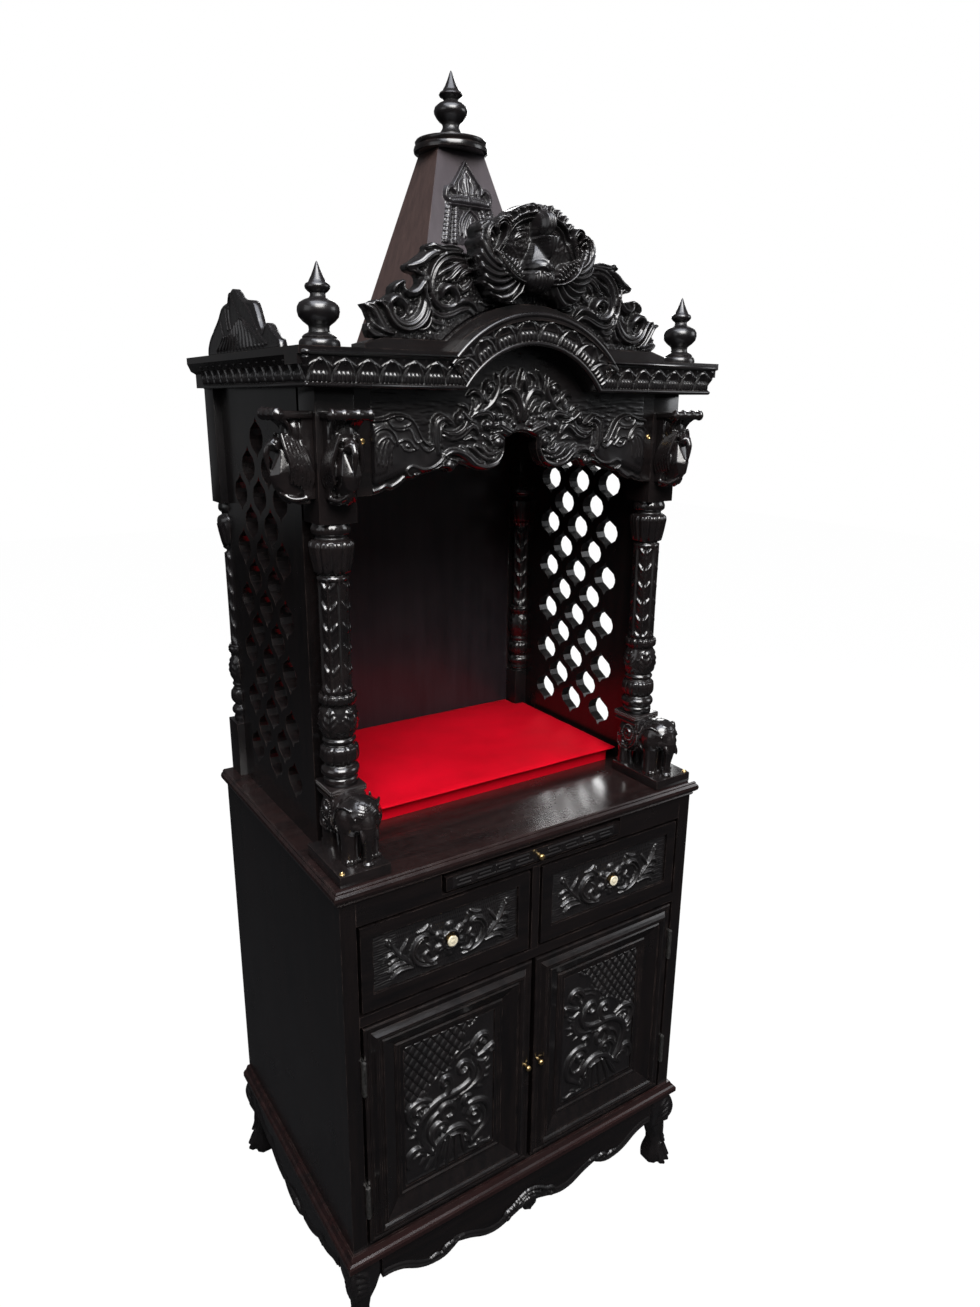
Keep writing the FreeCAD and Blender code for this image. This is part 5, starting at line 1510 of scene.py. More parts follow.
def postCarving(look):
    z0 = look["low"]
    shaftLow, shaftHigh = look["shaft"]

    def shape(r, a, z):
        h = z - z0
        out = r.copy()
        # shaft: four bands of scales that point down, a fillet between them
        u = ((a / (math.pi / 2)) % 1) * 2 - 1
        on = (z > shaftLow + 4) & (z < shaftHigh - 2)
        p = ((z - shaftLow) / look["tier"] - 0.55 * np.abs(u)) % 1
        scale = 4.0 * (p ** 1.5) * (1 - 0.25 * np.cos(2 * math.pi * p * 3))
        scale = scale * np.clip(1.25 - np.abs(u) * 0.9, 0, 1)
        scale = np.where(np.abs(u) < 0.1, 3.0, scale - 1.2 * np.exp(-((np.abs(u) - 0.16) / 0.05) ** 2))
        fillet = np.where(np.abs(u) > 0.86, 3.2, scale)
        fillet = np.where((np.abs(u) > 0.78) & (np.abs(u) <= 0.86), -0.6, fillet)
        out = np.where(on, r - 2.9 + fillet, out)
        # capital: tall petals that droop
        k = (h - 292) / 42.0
        lobes = ((a / (2 * math.pi / 11)) % 1) * 2 - 1
        petal = 5.2 * np.sqrt(np.clip(1 - np.abs(lobes) ** 3, 0, 1)) - 1.6 * np.exp(-(lobes / 0.13) ** 2)
        edge = np.clip((k - 0.06 - 0.16 * np.abs(lobes) ** 2) / 0.05, 0, 1)
        out = np.where((k > 0) & (k < 1.08), r - 3.9 + petal * edge, out)
        # vase under the shaft: upright acanthus, small leaves between
        k = (h - 70) / 44.0
        for count, turn, tall, lift in ((5, 0.0, 1.0, 4.8), (5, 0.5, 0.72, 3.4)):
            s = ((a / (2 * math.pi / count) + turn) % 1) * 2 - 1
            leaf = lift * leafShape(s * 1.02, np.clip(k / tall, 0, 1))
            out = np.where((k > 0) & (k < tall), np.maximum(out, r - 2.6 + leaf), out)
        # ring of short leaves above the vase
        s = ((a / (2 * math.pi / 12)) % 1) * 2 - 1
        k = (h - 116) / 17.0
        out = np.where((k > 0) & (k < 1), r - 1.2 + 2.4 * leafShape(s, np.clip(k, 0, 1)), out)
        # low cushion: petals
        k = (h - 30) / 28.0
        s = ((a / (2 * math.pi / 8)) % 1) * 2 - 1
        rim = np.sqrt(np.clip(1 - np.abs(s) ** 4, 0, 1)) * np.clip((1.02 - k) * 6, 0, 1)
        out = np.where((k > 0) & (k < 1), r - 2.2 + 2.6 * rim - 0.9 * np.exp(-(s / 0.12) ** 2), out)
        # beads on the top torus
        s = ((a / (2 * math.pi / 26)) % 1) * 2 - 1
        out = np.where((h > 346) & (h < 355), r - 0.9 + 1.2 * np.sqrt(np.clip(1 - s * s, 0, 1)), out)
        return out
    return shape


def densify(rows, step):
    # the turned outline with points an even step apart
    r = curvePoints(rows, 8)
    keep = [r[0]]
    for p in r[1:]:
        if math.hypot(p[0] - keep[-1][0], p[1] - keep[-1][1]) >= step:
            keep.append(p)
    keep.append(r[-1])
    out = [keep[0]]
    for a, b in zip(keep, keep[1:]):
        n = max(1, int(math.ceil(math.hypot(b[0] - a[0], b[1] - a[1]) / step)))
        out += [(a[0] + (b[0] - a[0]) * k / n, a[1] + (b[1] - a[1]) * k / n) for k in range(1, n + 1)]
    return np.array(out)


def shaftRows(look):
    rows = densify(postLook["rows"], look["step"])
    rows[:, 1] = look["low"] + rows[:, 1] * (look["high"] - look["low"]) / postLook["rows"][-1][1]
    return rows


def makePost(look):
    shaft = lathe("postShaft", (look["x"], look["y"]), shaftRows(look), look["segments"], postCarving(look))
    q = look["head"]
    head = bevelBlock("postHead", (look["x"] - q, look["y"] - q, look["high"]),
                      (look["x"] + q, look["y"] + q, look["roofLow"]), 1.2)
    return joined("rightPost", [shaft, head])


rightPost = makePost(postLook)
leftPost = mirroredCopy(rightPost, "leftPost")
frontPosts = joined("frontPostsCarved", [rightPost, leftPost])
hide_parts("front_posts")
finish(frontPosts, "cabinet", carvedGloss)
print("posts turned and carved", len(frontPosts.data.polygons))

# elephants on their plinths, x across, y towards the back, z up from the plinth
elephantLook = {"x": 278.0, "y": -135.0, "plinthTop": 822.0, "voxel": 1.3,
                "plinth": ((248, -226, 805), (324, -114, 822)), "beadRadius": 1.5,
                "head": ((0, -62, 70), (27, 25, 26))}


def headPoint(look, x, z, proud=0.0):
    # point on the face, at x across and z up
    (cx, cy, cz), (rx, ry, rz) = look["head"]
    reach = max(0.0, 1 - ((x - cx) / rx) ** 2 - ((z - cz) / rz) ** 2) ** 0.5
    return (x, cy - ry * reach - proud, z)


def makeElephant(look):
    half = [
        tubeShape([(15, -57, 52), (15, -57, 24), (15, -57, 6), (15, -57.5, 0)], (14.5, 12, 12.5, 14), 16),
        tubeShape([(15.5, 5, 50), (16, 6, 24), (15.5, 5, 6), (15.5, 5, 0)], (15, 12, 12.5, 14), 16),
        # ear: a thick round disc with a rolled rim, and the hollow in front of it
        ovalShape((12, -56, 63), (21, 22, 27)),
        tubeShape([(20, -74, 82), (27, -64, 86), (32, -52, 80), (33.5, -44, 66), (31, -42, 50), (25, -50, 40)],
                  1.8, 8),
        # tusk, eye, brow
        tubeShape([(8.5, -80, 60), (10, -86, 54), (10.5, -90, 46), (10.5, -90.5, 40)],
                  (3.6, 3.3, 2.7, 1.4), 8),
        ovalShape(headPoint(look, 17, 72), (2.8, 2.4, 1.8)),
        tubeShape([headPoint(look, x, z, 0.3) for x, z in ((12, 75), (16, 77), (20, 74))], 1.2, 6),
        # cheek
        ovalShape((13, -75, 60), (8.5, 9, 9)),
        # hem of the saddle cloth on the flank, and its folds
        tubeShape([(27, -34, 84), (30, -36, 66), (30, -30, 46), (30, -14, 34), (29, 4, 36), (27, 14, 46)],
                  1.9, 8),
        tubeShape([(28, -30, 80), (31, -30, 64), (31, -24, 48), (31, -12, 39), (29.5, 2, 42)], 1.2, 8)]
    for dx in (-9, -3, 3, 9):
        half.append(ovalShape((15 + dx, -70 + abs(dx) * 0.35, 3.6), (2.9, 2.8, 3.6), across=10, up=6))
        half.append(ovalShape((15.5 + dx, 18 - abs(dx) * 0.35, 3.6), (2.9, 2.8, 3.6), across=10, up=6))
    # curls carved on the cloth
    for cy, cz, r in ((-12, 62, 9), (-27, 54, 5.5), (3, 54, 5.5)):
        ring = [(31.0 - 0.012 * ((cy + 12) ** 2), cy + r * math.cos(a) * (1 - a / 9),
                 cz + r * math.sin(a) * (1 - a / 9)) for a in np.linspace(0, 5.6, 9)]
        half.append(tubeShape(ring, (1.2, 1.8, 2.2, 2.4), 8))
    shapes = half + flipX(half)
    shapes += [
        ovalShape((0, -18, 56), (31, 42, 36)), ovalShape((0, 6, 55), (28, 19, 33)),
        ovalShape((0, -44, 60), (29, 22, 32)),
        ovalShape(*look["head"], across=28, up=18),
        tubeShape([(0, -74, 72), (0, -81, 60), (0, -82.5, 44), (0, -81.5, 26), (0, -80.5, 10), (0, -80, 0)],
                  (14.5, 12.5, 9.5, 6.2, 5.4, 7.6), 16),
        ovalShape((0, -82, 3.2), (9.2, 7.5, 3.4)),
        tubeShape([(0, 22, 70), (0, 25, 52), (3, 24, 36), (2, 22, 26)], (3.4, 2.8, 2.8, 3.6), 8)]
    # rings down the trunk
    levels = (0, 10, 26, 44, 60)
    for k in range(11):
        z = 60 - 4.6 * k
        r = float(np.interp(z, levels, (8.0, 6.2, 7.0, 10.3, 13.3)))
        y = float(np.interp(z, levels, (-80, -80.5, -81.5, -82.5, -81)))
        shapes.append(ovalShape((0, y, z), (r, r, 1.35), across=16, up=6))
    # chevrons across the forehead and the plate under them
    for k in range(5):
        top = 90 - 3.6 * k
        wide = 9 + 1.6 * k
        shapes.append(tubeShape([headPoint(look, x, top - 3.6 * (1 - abs(x) / wide), 0.2)
                                 for x in (-wide, -wide / 2, 0, wide / 2, wide)], 1.15, 6, 3))
    body = sculpt("elephantBody", shapes, look["voxel"])
    # beads along the hem of the cloth and in a ring on each flank
    co = np.empty(len(body.data.vertices) * 3)
    body.data.vertices.foreach_get("co", co)
    co = co.reshape(-1, 3) / mm
    spots = []

    def stud(sign, y, z):
        near = (np.abs(co[:, 1] - y) < 1.6) & (np.abs(co[:, 2] - z) < 1.6) & (co[:, 0] * sign > 0)
        if near.any():
            spots.append((sign * (np.abs(co[near, 0]).max() - 0.1), y, z))
    hem = curvePoints([(-40, 80), (-41, 62), (-36, 44), (-20, 30), (-2, 30), (14, 38), (20, 50)], 9)
    for sign in (-1, 1):
        for y, z in hem:
            stud(sign, y, z)
        for a in np.linspace(0, 2 * math.pi, 25)[:-1]:
            stud(sign, -12 + 14 * math.cos(a), 62 + 13 * math.sin(a))
    studs = beads("elephantBeads", spots, look["beadRadius"])
    # square board between its back and the post, with two beaded bands
    layers = [bevelBlock(name, (-half, -half, z0), (half, half, z1), bevel) for name, half, z0, z1, bevel in (
        ("saddleLow", 26, 76, 81, 1.6), ("saddleMid", 23.5, 80, 85, 0.8), ("saddleTop", 26.5, 84.5, 94, 1.4))]
    band = []
    for level, edge in ((82.8, 23.9), (87.4, 26.4), (91.0, 26.4)):
        n = int(edge / 1.45)
        for k in range(n):
            t = -edge + 2 * edge * (k + 0.5) / n
            band += [(t, -edge, level), (t, edge, level), (-edge, t, level), (edge, t, level)]
    bandBeads = beads("bandBeads", band, 1.25, 6, 5)
    return joined("elephant", [body, studs] + layers + [bandBeads])


elephant = makeElephant(elephantLook)
rightElephant = placedCopy(elephant, "rightElephant", Matrix.Translation(
    (elephantLook["x"] * mm, elephantLook["y"] * mm, elephantLook["plinthTop"] * mm)))
bpy.data.objects.remove(elephant)
rightPlinth = bevelBlock("rightPlinth", *elephantLook["plinth"], 2.0)
rightSet = joined("rightElephantSet", [rightElephant, rightPlinth])
leftSet = mirroredCopy(rightSet, "leftElephantSet")
elephants = joined("elephants", [rightSet, leftSet])
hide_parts("elephant_bases")
finish(elephants, "cabinet", carvedGloss)
print("elephants carved", len(elephants.data.polygons))

# bird brackets: x across, y out from the post, z up from the lower end
bracketLook = {"low": 1303.0, "voxel": 1.3, "postFace": 304.0, "postFront": -161.0, "postX": 278.0,
               "postY": -135.0}


def makeBracket(look):
    half = []
    # long wing feathers that sweep down and back to the post
    for k in range(6):
        line = [(11 + 0.4 * k, 38 - 4.4 * k, 86 - 2 * k), (16.5 + 0.5 * k, 35 - 5.4 * k, 67 - 2.6 * k),
                (19.5, 30 - 5.4 * k, 46 - 3 * k), (16 - 0.6 * k, 30 - 4.8 * k, 26 - 2.6 * k)]
        half.append(tubeShape(line, (2.4, 3.4, 3.6, 1.4), 8, flat=0.9))
    # fan lines of the neck under the roll
    for x in (4, 9, 14, 18):
        half.append(tubeShape([(x, 42, 104), (x * 0.9, 31, 96), (x * 0.72, 28, 86), (x * 0.5, 34, 77)],
                              (2.4, 2.8, 2.6, 1.6), 8))
    # cheek fold, eye and hip leaves
    half.append(tubeShape([(3, 50, 75), (7.5, 46, 72), (9, 42, 66)], (2, 2.4, 1.6), 8))
    half.append(ovalShape((5.6, 48.5, 72.5), (2.5, 2, 2.2), across=10, up=8))
    half.append(tubeShape([(3, 40, 14), (10, 26, 6), (17, 10, 8)], (2, 3.4, 2.4), 8))
    half.append(tubeShape([(2, 30, 6), (8, 18, 2), (14, 6, 2)], (2, 3, 2), 8))
    shapes = half + flipX(half)
    chest = [(0, 52, 35), (13, 43, 38), (-13, 43, 38), (16, 20, 42), (-16, 20, 42), (8, 44, 22), (-8, 44, 22),
             (0, 47, 19), (8, 38, 66), (-8, 38, 66), (14, 8, 72), (-14, 8, 72), (14, 4, 28), (-14, 4, 28),
             (7, 24, 5), (-7, 24, 5), (0, 2, 2)]
    shapes += [
        hullShape(chest),
        blockShape((-17, 0, 6), (17, 14, 108)),
        ovalShape((0, 20, 86), (16, 15, 24)),
        blockShape((-20.5, 0, 103), (20.5, 42, 112)),
        ovalShape((0, 42, 72), (8.5, 9, 9.5)),
        tubeShape([(0, 49, 73), (0, 54, 64), (0, 53.5, 52), (0, 52, 38)], (5, 4.4, 3.4, 1.0), 8),
        tubeShape([(0, 26, 2), (0, 34, 8), (0, 42, 18)], (3, 4, 3), 8),
        tubeShape([(-26, 46, 108), (26, 46, 108)], 6.4, 16, 2)]
    for p in (-25, -9, 9, 25):
        shapes.append(tubeShape([(p - 1.6, 46, 108), (p + 1.6, 46, 108)], 7.8, 16, 2))
    return sculpt("bracket", shapes, look["voxel"])


bracket = makeBracket(bracketLook)
toFront = Matrix(((1, 0, 0, bracketLook["postX"] * mm), (0, -1, 0, bracketLook["postFront"] * mm),
                  (0, 0, 1, bracketLook["low"] * mm), (0, 0, 0, 1)))
toSide = Matrix(((0, 1, 0, bracketLook["postFace"] * mm), (1, 0, 0, bracketLook["postY"] * mm),
                 (0, 0, 1, bracketLook["low"] * mm), (0, 0, 0, 1)))
places = (toFront, toSide, acrossMiddle @ toFront, acrossMiddle @ toSide)
birds = [placedCopy(bracket, "bracket%d" % k, m) for k, m in enumerate(places)]
bpy.data.objects.remove(bracket)
birdBrackets = joined("birdBrackets", birds)
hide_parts("brackets")
finish(birdBrackets, "cabinet", carvedGloss)
print("bird brackets carved", len(birdBrackets.data.polygons))

# turned finials, spire disc
finialLook = {
    "segments": 48, "corner": (295.0, -163.0, 1487.0), "spire": (0.0, 25.0, 1786.0),
    "discPlace": (0.0, 25.0, 1769.0), "discSegments": 72}
finialLook["cornerRows"] = [
    (0, 0), (24, 0), (24.6, 3), (24, 7), (22, 9.5), (20, 10), (20.5, 12), (18, 14.5), (13, 17), (12, 20),
    (12.6, 24), (15, 26), (19, 29), (23.5, 34), (25, 40), (24.6, 45), (22, 49.5), (17, 52.5), (10.5, 55),
    (9, 57.5), (9, 60), (12, 62.2), (14.5, 65), (15, 67.5), (14, 70), (10.5, 72), (9.4, 74.5), (7, 79),
    (4, 86), (1.5, 93), (0, 95)]
finialLook["spireRows"] = [
    (0, 0), (20, 0), (20.6, 4), (20, 8.5), (17, 10.5), (14, 14), (12, 18), (12, 21), (14, 24), (17, 26),
    (21, 30.5), (24, 35.5), (24.5, 39), (23, 43.5), (18, 48), (11.5, 51), (10, 53), (12, 55.4), (16, 57.6),
    (17.2, 59.6), (15.6, 62.4), (12, 64.6), (11, 67), (8.5, 71), (5, 79), (1.8, 88), (0, 91)]
finialLook["disc"] = [
    (0, 0), (51, 0), (53.4, 1.6), (54, 5), (53, 8.5), (50.5, 10), (51.5, 12), (52, 15), (50.5, 17), (0, 17)]


def turnedAt(name, place, rows, segments):
    x, y, z = place
    obj = lathe(name, (x, y), [(r, z + h) for r, h in rows], segments)
    softEdges(obj, 42)
    return obj


rightFinial = turnedAt("rightFinial", finialLook["corner"], finialLook["cornerRows"], finialLook["segments"])
leftFinial = mirroredCopy(rightFinial, "leftFinial")
finials = joined("cornerFinials", [rightFinial, leftFinial])
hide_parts("corner_finials")
finish(finials, "cabinet", carvedDark)
topFinial = turnedAt("spireFinial", finialLook["spire"], finialLook["spireRows"], finialLook["segments"])
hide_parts("spire_finial")
finish(topFinial, "cabinet", carvedDark)
disc = turnedAt("spireDisc", finialLook["discPlace"], finialLook["disc"], finialLook["discSegments"])
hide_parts("spire_cap")
finish(disc, "cabinet", darkAcross)
print("finials turned")

# knobs and screws
knobLook = {
    "drawer": {"place": (155.5, -223.0, 670.0),
               "rows": [(0, 0), (5.8, 0), (5.4, 2), (4.8, 4), (5, 6), (6.2, 7.4), (8.2, 8.4), (9, 9.6),
                        (9, 10.6), (8.4, 11.6)]},
    "drawerFace": [(0, 10.6), (8, 10.6), (8.5, 11.4), (8, 12.4), (4.6, 13), (3.9, 12.7), (3, 13.3),
                   (1.4, 13.7), (0, 13.7)],
    "tray": {"place": (0.0, -231.0, 763.0),
             "rows": [(0, 0), (3.2, 0), (2.6, 2), (2.6, 4), (3.6, 5.6), (4.8, 7.4), (5.1, 9), (4.6, 10.8),
                      (3, 12), (0, 12.2)]},
    "door": {"place": (13.0, -227.0, 379.5),
             "rows": [(0, 0), (2.9, 0), (2.3, 3), (2.3, 5), (3.2, 7.2), (4.5, 9), (4.8, 10.6), (4.2, 12.6),
                      (2.6, 13.8), (0, 14)]}}


def pull(name, place, rows, segments=28):
    # turned pull that stands out to the front
    obj = lathe(name, (0, 0), rows, segments)
    x, y, z = place
    obj.data.transform(Matrix(((1, 0, 0, x * mm), (0, 0, -1, y * mm), (0, 1, 0, z * mm), (0, 0, 0, 1))))
    softEdges(obj, 45)
    return obj


for side, sign in (("left", -1), ("right", 1)):
    x, y, z = knobLook["drawer"]["place"]
    stem = pull(side + "DrawerKnob", (sign * x, y, z), knobLook["drawer"]["rows"])
    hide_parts(side + "_drawer_knob")
    finish(stem, side + "_drawer", brass)
    button = pull(side + "DrawerKnobFace", (sign * x, y, z), knobLook["drawerFace"])
    finish(button, side + "_drawer", ivory)
    x, y, z = knobLook["door"]["place"]
    stem = pull(side + "DoorKnob", (sign * x, y, z), knobLook["door"]["rows"])
    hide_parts(side + "_door_knob")
    finish(stem, side + "_door", brass)
stem = pull("trayKnob", knobLook["tray"]["place"], knobLook["tray"]["rows"])
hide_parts("tray_knob")
finish(stem, "tray", brass)
print("knobs turned")


# legs: a leaf over the knee that ends in a roll, slim ankle, paw with four toes
legLook = {"x": 327.5, "y": -227.0, "depthMiddle": 10.0, "voxel": 1.8}
legLook["rows"] = [
    (20, 25, 156), (19, 27, 138), (19, 26, 118), (18, 21, 96), (15, 15, 74), (13, 13, 56), (11, 15, 40),
    (12, 19, 22), (13, 20, 10), (13, 19, 0)]


def makeLeg(look):
    rows = sorted(look["rows"], key=lambda r: r[2])
    levels = [r[2] for r in rows]

    diagonal = 0.7071

    def spot(out, z, side=0.0):
        # out runs to the outer front corner, side runs across it, z picks the level of the leg's middle
        inset = float(np.interp(z, levels, [r[0] for r in rows]))
        return (look["x"] - inset + (out + side) * diagonal, look["y"] + inset - (out - side) * diagonal, z)

    def corner(z):
        return 1.2 * float(np.interp(z, levels, [r[1] for r in rows]))
    shapes = []
    for (i0, h0, z0), (i1, h1, z1) in zip(rows, rows[1:]):
        pts = []
        for inset, h, z in ((i0, h0, z0), (i1, h1, z1)):
            cut = 0.72 if z > 90 else 0.55
            x, y = look["x"] - inset, look["y"] + inset
            pts += [(x + a * h, y + b * h, z) for a, b in (
                (1, cut), (cut, 1), (-cut, 1), (-1, cut), (-1, -cut), (-cut, -1), (cut, -1), (1, -cut))]
        shapes.append(hullShape(pts))
    # leaf: middle rib, side ribs that sweep off it, rolled tip
    levelsDown = (154, 142, 128, 114, 102, 92)
    bulge = (0, 3, 6, 6.5, 5, 0)
    rib = [spot(corner(z) - 2 + b, z) for z, b in zip(levelsDown, bulge)]
    shapes.append(tubeShape(rib, (3, 5, 6.5, 6.5, 5.5, 3), 12))
    for sign in (-1, 1):
        for z, b in ((148, 2), (138, 4), (127, 5), (116, 5), (106, 4)):
            line = [spot(corner(z) - 3 + b, z), spot(corner(z) - 5 + b, z - 4, sign * 8),
                    spot(corner(z - 12) - 12, z - 12, sign * 17), spot(corner(z - 22) - 17, z - 22, sign * 19)]
            shapes.append(tubeShape(line, (2.6, 3.8, 3.6, 1.6), 8))
        shapes.append(tubeShape([spot(corner(98) + 1, 98, sign * 2), spot(corner(98), 97, sign * 9)],
                                (5.5, 3.5), 10, 2))
        shapes.append(tubeShape([spot(20, 88, sign * 3), spot(17, 72, sign * 5), spot(16, 56, sign * 6),
                                 spot(19, 40, sign * 9)], (3, 3, 3, 2), 8))
    shapes.append(tubeShape([spot(corner(98) + 2, 98, -5), spot(corner(98) + 2, 98, 5)], 6.2, 12, 2))
    shapes.append(tubeShape([spot(21, 90), spot(19, 74), spot(17, 56), spot(20, 38)], (4, 3.6, 3.4, 2.4), 8))
    for side, out in ((-17, 17), (-6, 24), (6, 24), (17, 17)):
        shapes.append(tubeShape([spot(10, 40, side * 0.5), spot(out - 6, 26, side * 0.8), spot(out, 13, side)],
                                (5, 5.4, 5.6), 10))
        shapes.append(ovalShape(spot(out + 1, 8.2, side), (6.6, 6.6, 8.0)))
        shapes.append(ovalShape(spot(out + 7, 4.0, side * 1.05), (3.0, 3.0, 3.8), across=10, up=8))
    return sculpt("leg", shapes, look["voxel"])


leg = makeLeg(legLook)
backShift = Matrix.Translation((0, legLook["depthMiddle"] * mm, 0)) @ Matrix.Scale(-1, 4, (0, 1, 0))
places = (Matrix(), acrossMiddle, backShift, acrossMiddle @ backShift)
legSet = [placedCopy(leg, "leg%d" % k, m) for k, m in enumerate(places)]
bpy.data.objects.remove(leg)
carvedLegs = joined("carvedLegs", legSet)
for v in carvedLegs.data.vertices:
    v.co.z = max(v.co.z, 0.0)
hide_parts("legs")
finish(carvedLegs, "cabinet", carvedDark)
print("legs carved", len(carvedLegs.data.polygons))

# aprons: a double moulding along the cut lower edge, a shell in the middle of the front
apronLook = {"cell": 1.4, "front": -233.0, "side": 333.5, "sideMiddle": 10.0, "top": 152.0}
apronLook["frontEdge"] = [
    [(0, 74), (10, 79), (16, 90)],
    [(17, 88), (36, 81), (64, 72), (92, 74), (120, 87), (146, 96)],
    [(150, 92), (172, 81), (200, 82), (222, 90), (246, 105), (268, 112), (282, 112)]]
apronLook["sideEdge"] = [
    [(0, 58), (26, 62), (44, 74)],
    [(46, 71), (74, 74), (98, 84), (118, 97)],
    [(120, 94), (148, 99), (176, 112), (191, 114)]]
apronLook["frontStrokes"] = [
    ("vein", [(0, 119), (14, 116), (27, 108), (37, 101), (48, 97), (53, 89), (47, 83), (40, 87)],
     (3, 3.6, 3.8, 3.8, 4, 3.8, 3.2, 2), (5, 6, 6, 6.5, 7, 7, 6.5, 5)),
    ("round", [(41, 92), (41.5, 92)], 4.2, 6.5),
    ("vein", [(0, 111), (13, 108), (23, 100), (29, 92)], (2.6, 3.4, 3.2, 1.6), (5, 6, 5.5, 4)),
    ("vein", [(0, 106), (0, 92), (0, 79)], (3, 4.4, 3), (6, 7.5, 5)),
    ("vein", [(4, 104), (8, 93), (12, 83)], (2.4, 3.6, 2.6), (5.5, 6.5, 4.5)),
    ("vein", [(9, 101), (16, 94), (19, 89)], (2.2, 3, 1.6), (5, 5.5, 4)),
    ("vein", [(134, 104), (143, 104), (151, 98)], (2, 3.4, 2), (4, 5, 4)),
    ("vein", [(152, 98), (160, 104), (170, 102), (174, 95), (168, 92)], (2, 3.4, 3.6, 3, 2),
     (4, 5.5, 6, 5.5, 4)),
    ("vein", [(176, 92), (185, 98), (195, 96), (198, 90)], (2, 3.2, 3, 1.6), (4, 5, 5, 4)),
    ("round", [(185, 96), (185.5, 96)], 3.4, 5.0)]
apronLook["sideStrokes"] = [
    ("vein", [(0, 84), (12, 83), (24, 78), (34, 74)], (2.4, 3.4, 3.2, 1.6), (4, 5, 5, 4)),
    ("vein", [(0, 78), (0, 70), (0, 63)], (3, 4, 2.6), (5, 6, 4)),
    ("vein", [(6, 78), (11, 72), (15, 66)], (2.2, 3, 2), (4.5, 5.5, 4)),
    ("vein", [(106, 98), (116, 103), (126, 102), (130, 97)], (2, 3.2, 3, 1.6), (4, 5, 5, 4))]


def carveApron(name, look, runs, strokes, half, place):
    edge = [tuple(p) for run in runs for p in curvePoints(run, 5)]
    edge = [(-a, b) for a, b in edge[::-1]] + edge
    low = min(b for a, b in edge)
    g = patch(-half, half, low - 3, look["top"], look["cell"], 0.35)
    uu, vv = np.meshgrid(g["u"], g["v"])
    d, _, _ = edgeDistance(np.array(edge), uu, vv, closed=False)
    inside = insideOf(np.array(edge + [(half + 2, look["top"] + 5), (-half - 2, look["top"] + 5)]), uu, vv)
    g["h"] += 2.6 * np.exp(-((d - 3.6) / 2.6) ** 2) + 1.8 * np.exp(-((d - 10.8) / 2.0) ** 2)
    g["h"] -= 0.5 * np.exp(-((d - 14.2) / 1.2) ** 2)
    before = g["h"].copy()
    carve(g, strokes)
    marks = g["h"] > before
    g["h"] = softened(g["h"])
    keep = inside & (d > 0.5) & ((d < 17) | marks)
    return sheetMesh(name, g, place, keep)


frontApron = carveApron("frontApronCarving", apronLook, apronLook["frontEdge"], apronLook["frontStrokes"], 282,
                        frontOf(apronLook["front"]))
finish(frontApron, "cabinet", carvedSoft)
rightApron = carveApron("rightApronCarving", apronLook, apronLook["sideEdge"], apronLook["sideStrokes"], 190,
                        sideOf(apronLook["side"], shift=apronLook["sideMiddle"]))
leftApron = mirroredCopy(rightApron, "leftApronCarving")
sideAprons = joined("sideApronCarving", [rightApron, leftApron])
finish(sideAprons, "cabinet", carvedSoft)
print("aprons carved")

# tray front: a raised key pattern on each side of the pull
fretLook = {"face": -231.0, "cell": 0.85, "field": (-154, 154, 754, 772), "low": 757.2, "high": 768.8,
            "start": 13.0, "pitch": 34.5, "long": 31.0, "count": 4, "line": 1.0, "raise": 1.7}


def carveFret(look):
    g = patch(*look["field"], look["cell"], 0.25)
    low, high = look["low"], look["high"]
    middle = (low + high) / 2
    for k in range(look["count"]):
        a = look["start"] + look["pitch"] * k
        b = a + look["long"]
        first, last = (high, low) if k % 2 else (low, high)
        line = [(a - 2.5, first), (b, first), (b, last), (a + 5.5, last), (a + 5.5, middle), (b - 6, middle)]
        for sign in (1, -1):
            turned = [(sign * x, z) for x, z in line]
            for p, q in zip(turned, turned[1:]):
                stroke(g, [p, q], look["line"], look["raise"], "flat", straight=True)
    return sheetMesh("trayFret", g, frontOf(look["face"]), tuck=0.6)


trayFret = carveFret(fretLook)
finish(trayFret, "tray", carvedDark)

# side crests: fluted shells on both faces, a roll at the front end
sideCrestLook = {
    "cell": 1.1, "outer": 319.0, "inner": 309.0, "back": 200.0, "front": -98, "tall": 86,
    "marks": ((0.2, 3.0, 4.0, 51),),
    "fan": {"lines": 14, "from": (-40.0, 150.0), "to": (-8.0, 118.0), "low": 1495.0, "high": (1512.0, 1531.0)}}
sideCrestLook["rows"] = [
    (0, 0), (3, 13), (14, 25), (28, 33), (42, 41), (60, 51), (76, 63), (92, 67), (106, 69), (118, 79),
    (130, 84), (142, 80), (156, 71), (172, 66), (194, 65), (208, 61), (218, 49), (228, 33), (238, 25),
    (246, 31), (256, 33), (268, 25), (282, 17), (294, 11), (298, 0)]
sideCrestLook["strokes"] = [
    ("round", [(-52, 1496), (-34, 1504), (-14, 1520), (4, 1538), (22, 1550), (36, 1555)], 1.8, 2.6),
    ("round", [(36, 1530), (52, 1541), (66, 1552), (76, 1564)], 1.6, 2.2),
    ("round", [(84, 1520), (90, 1536), (88, 1552), (80, 1566)], 1.6, 2.4),
    ("round", [(98, 1520), (102, 1536), (104, 1550)], 1.6, 2.2),
    ("round", [(112, 1500), (122, 1516), (130, 1534)], 1.6, 2.2)]


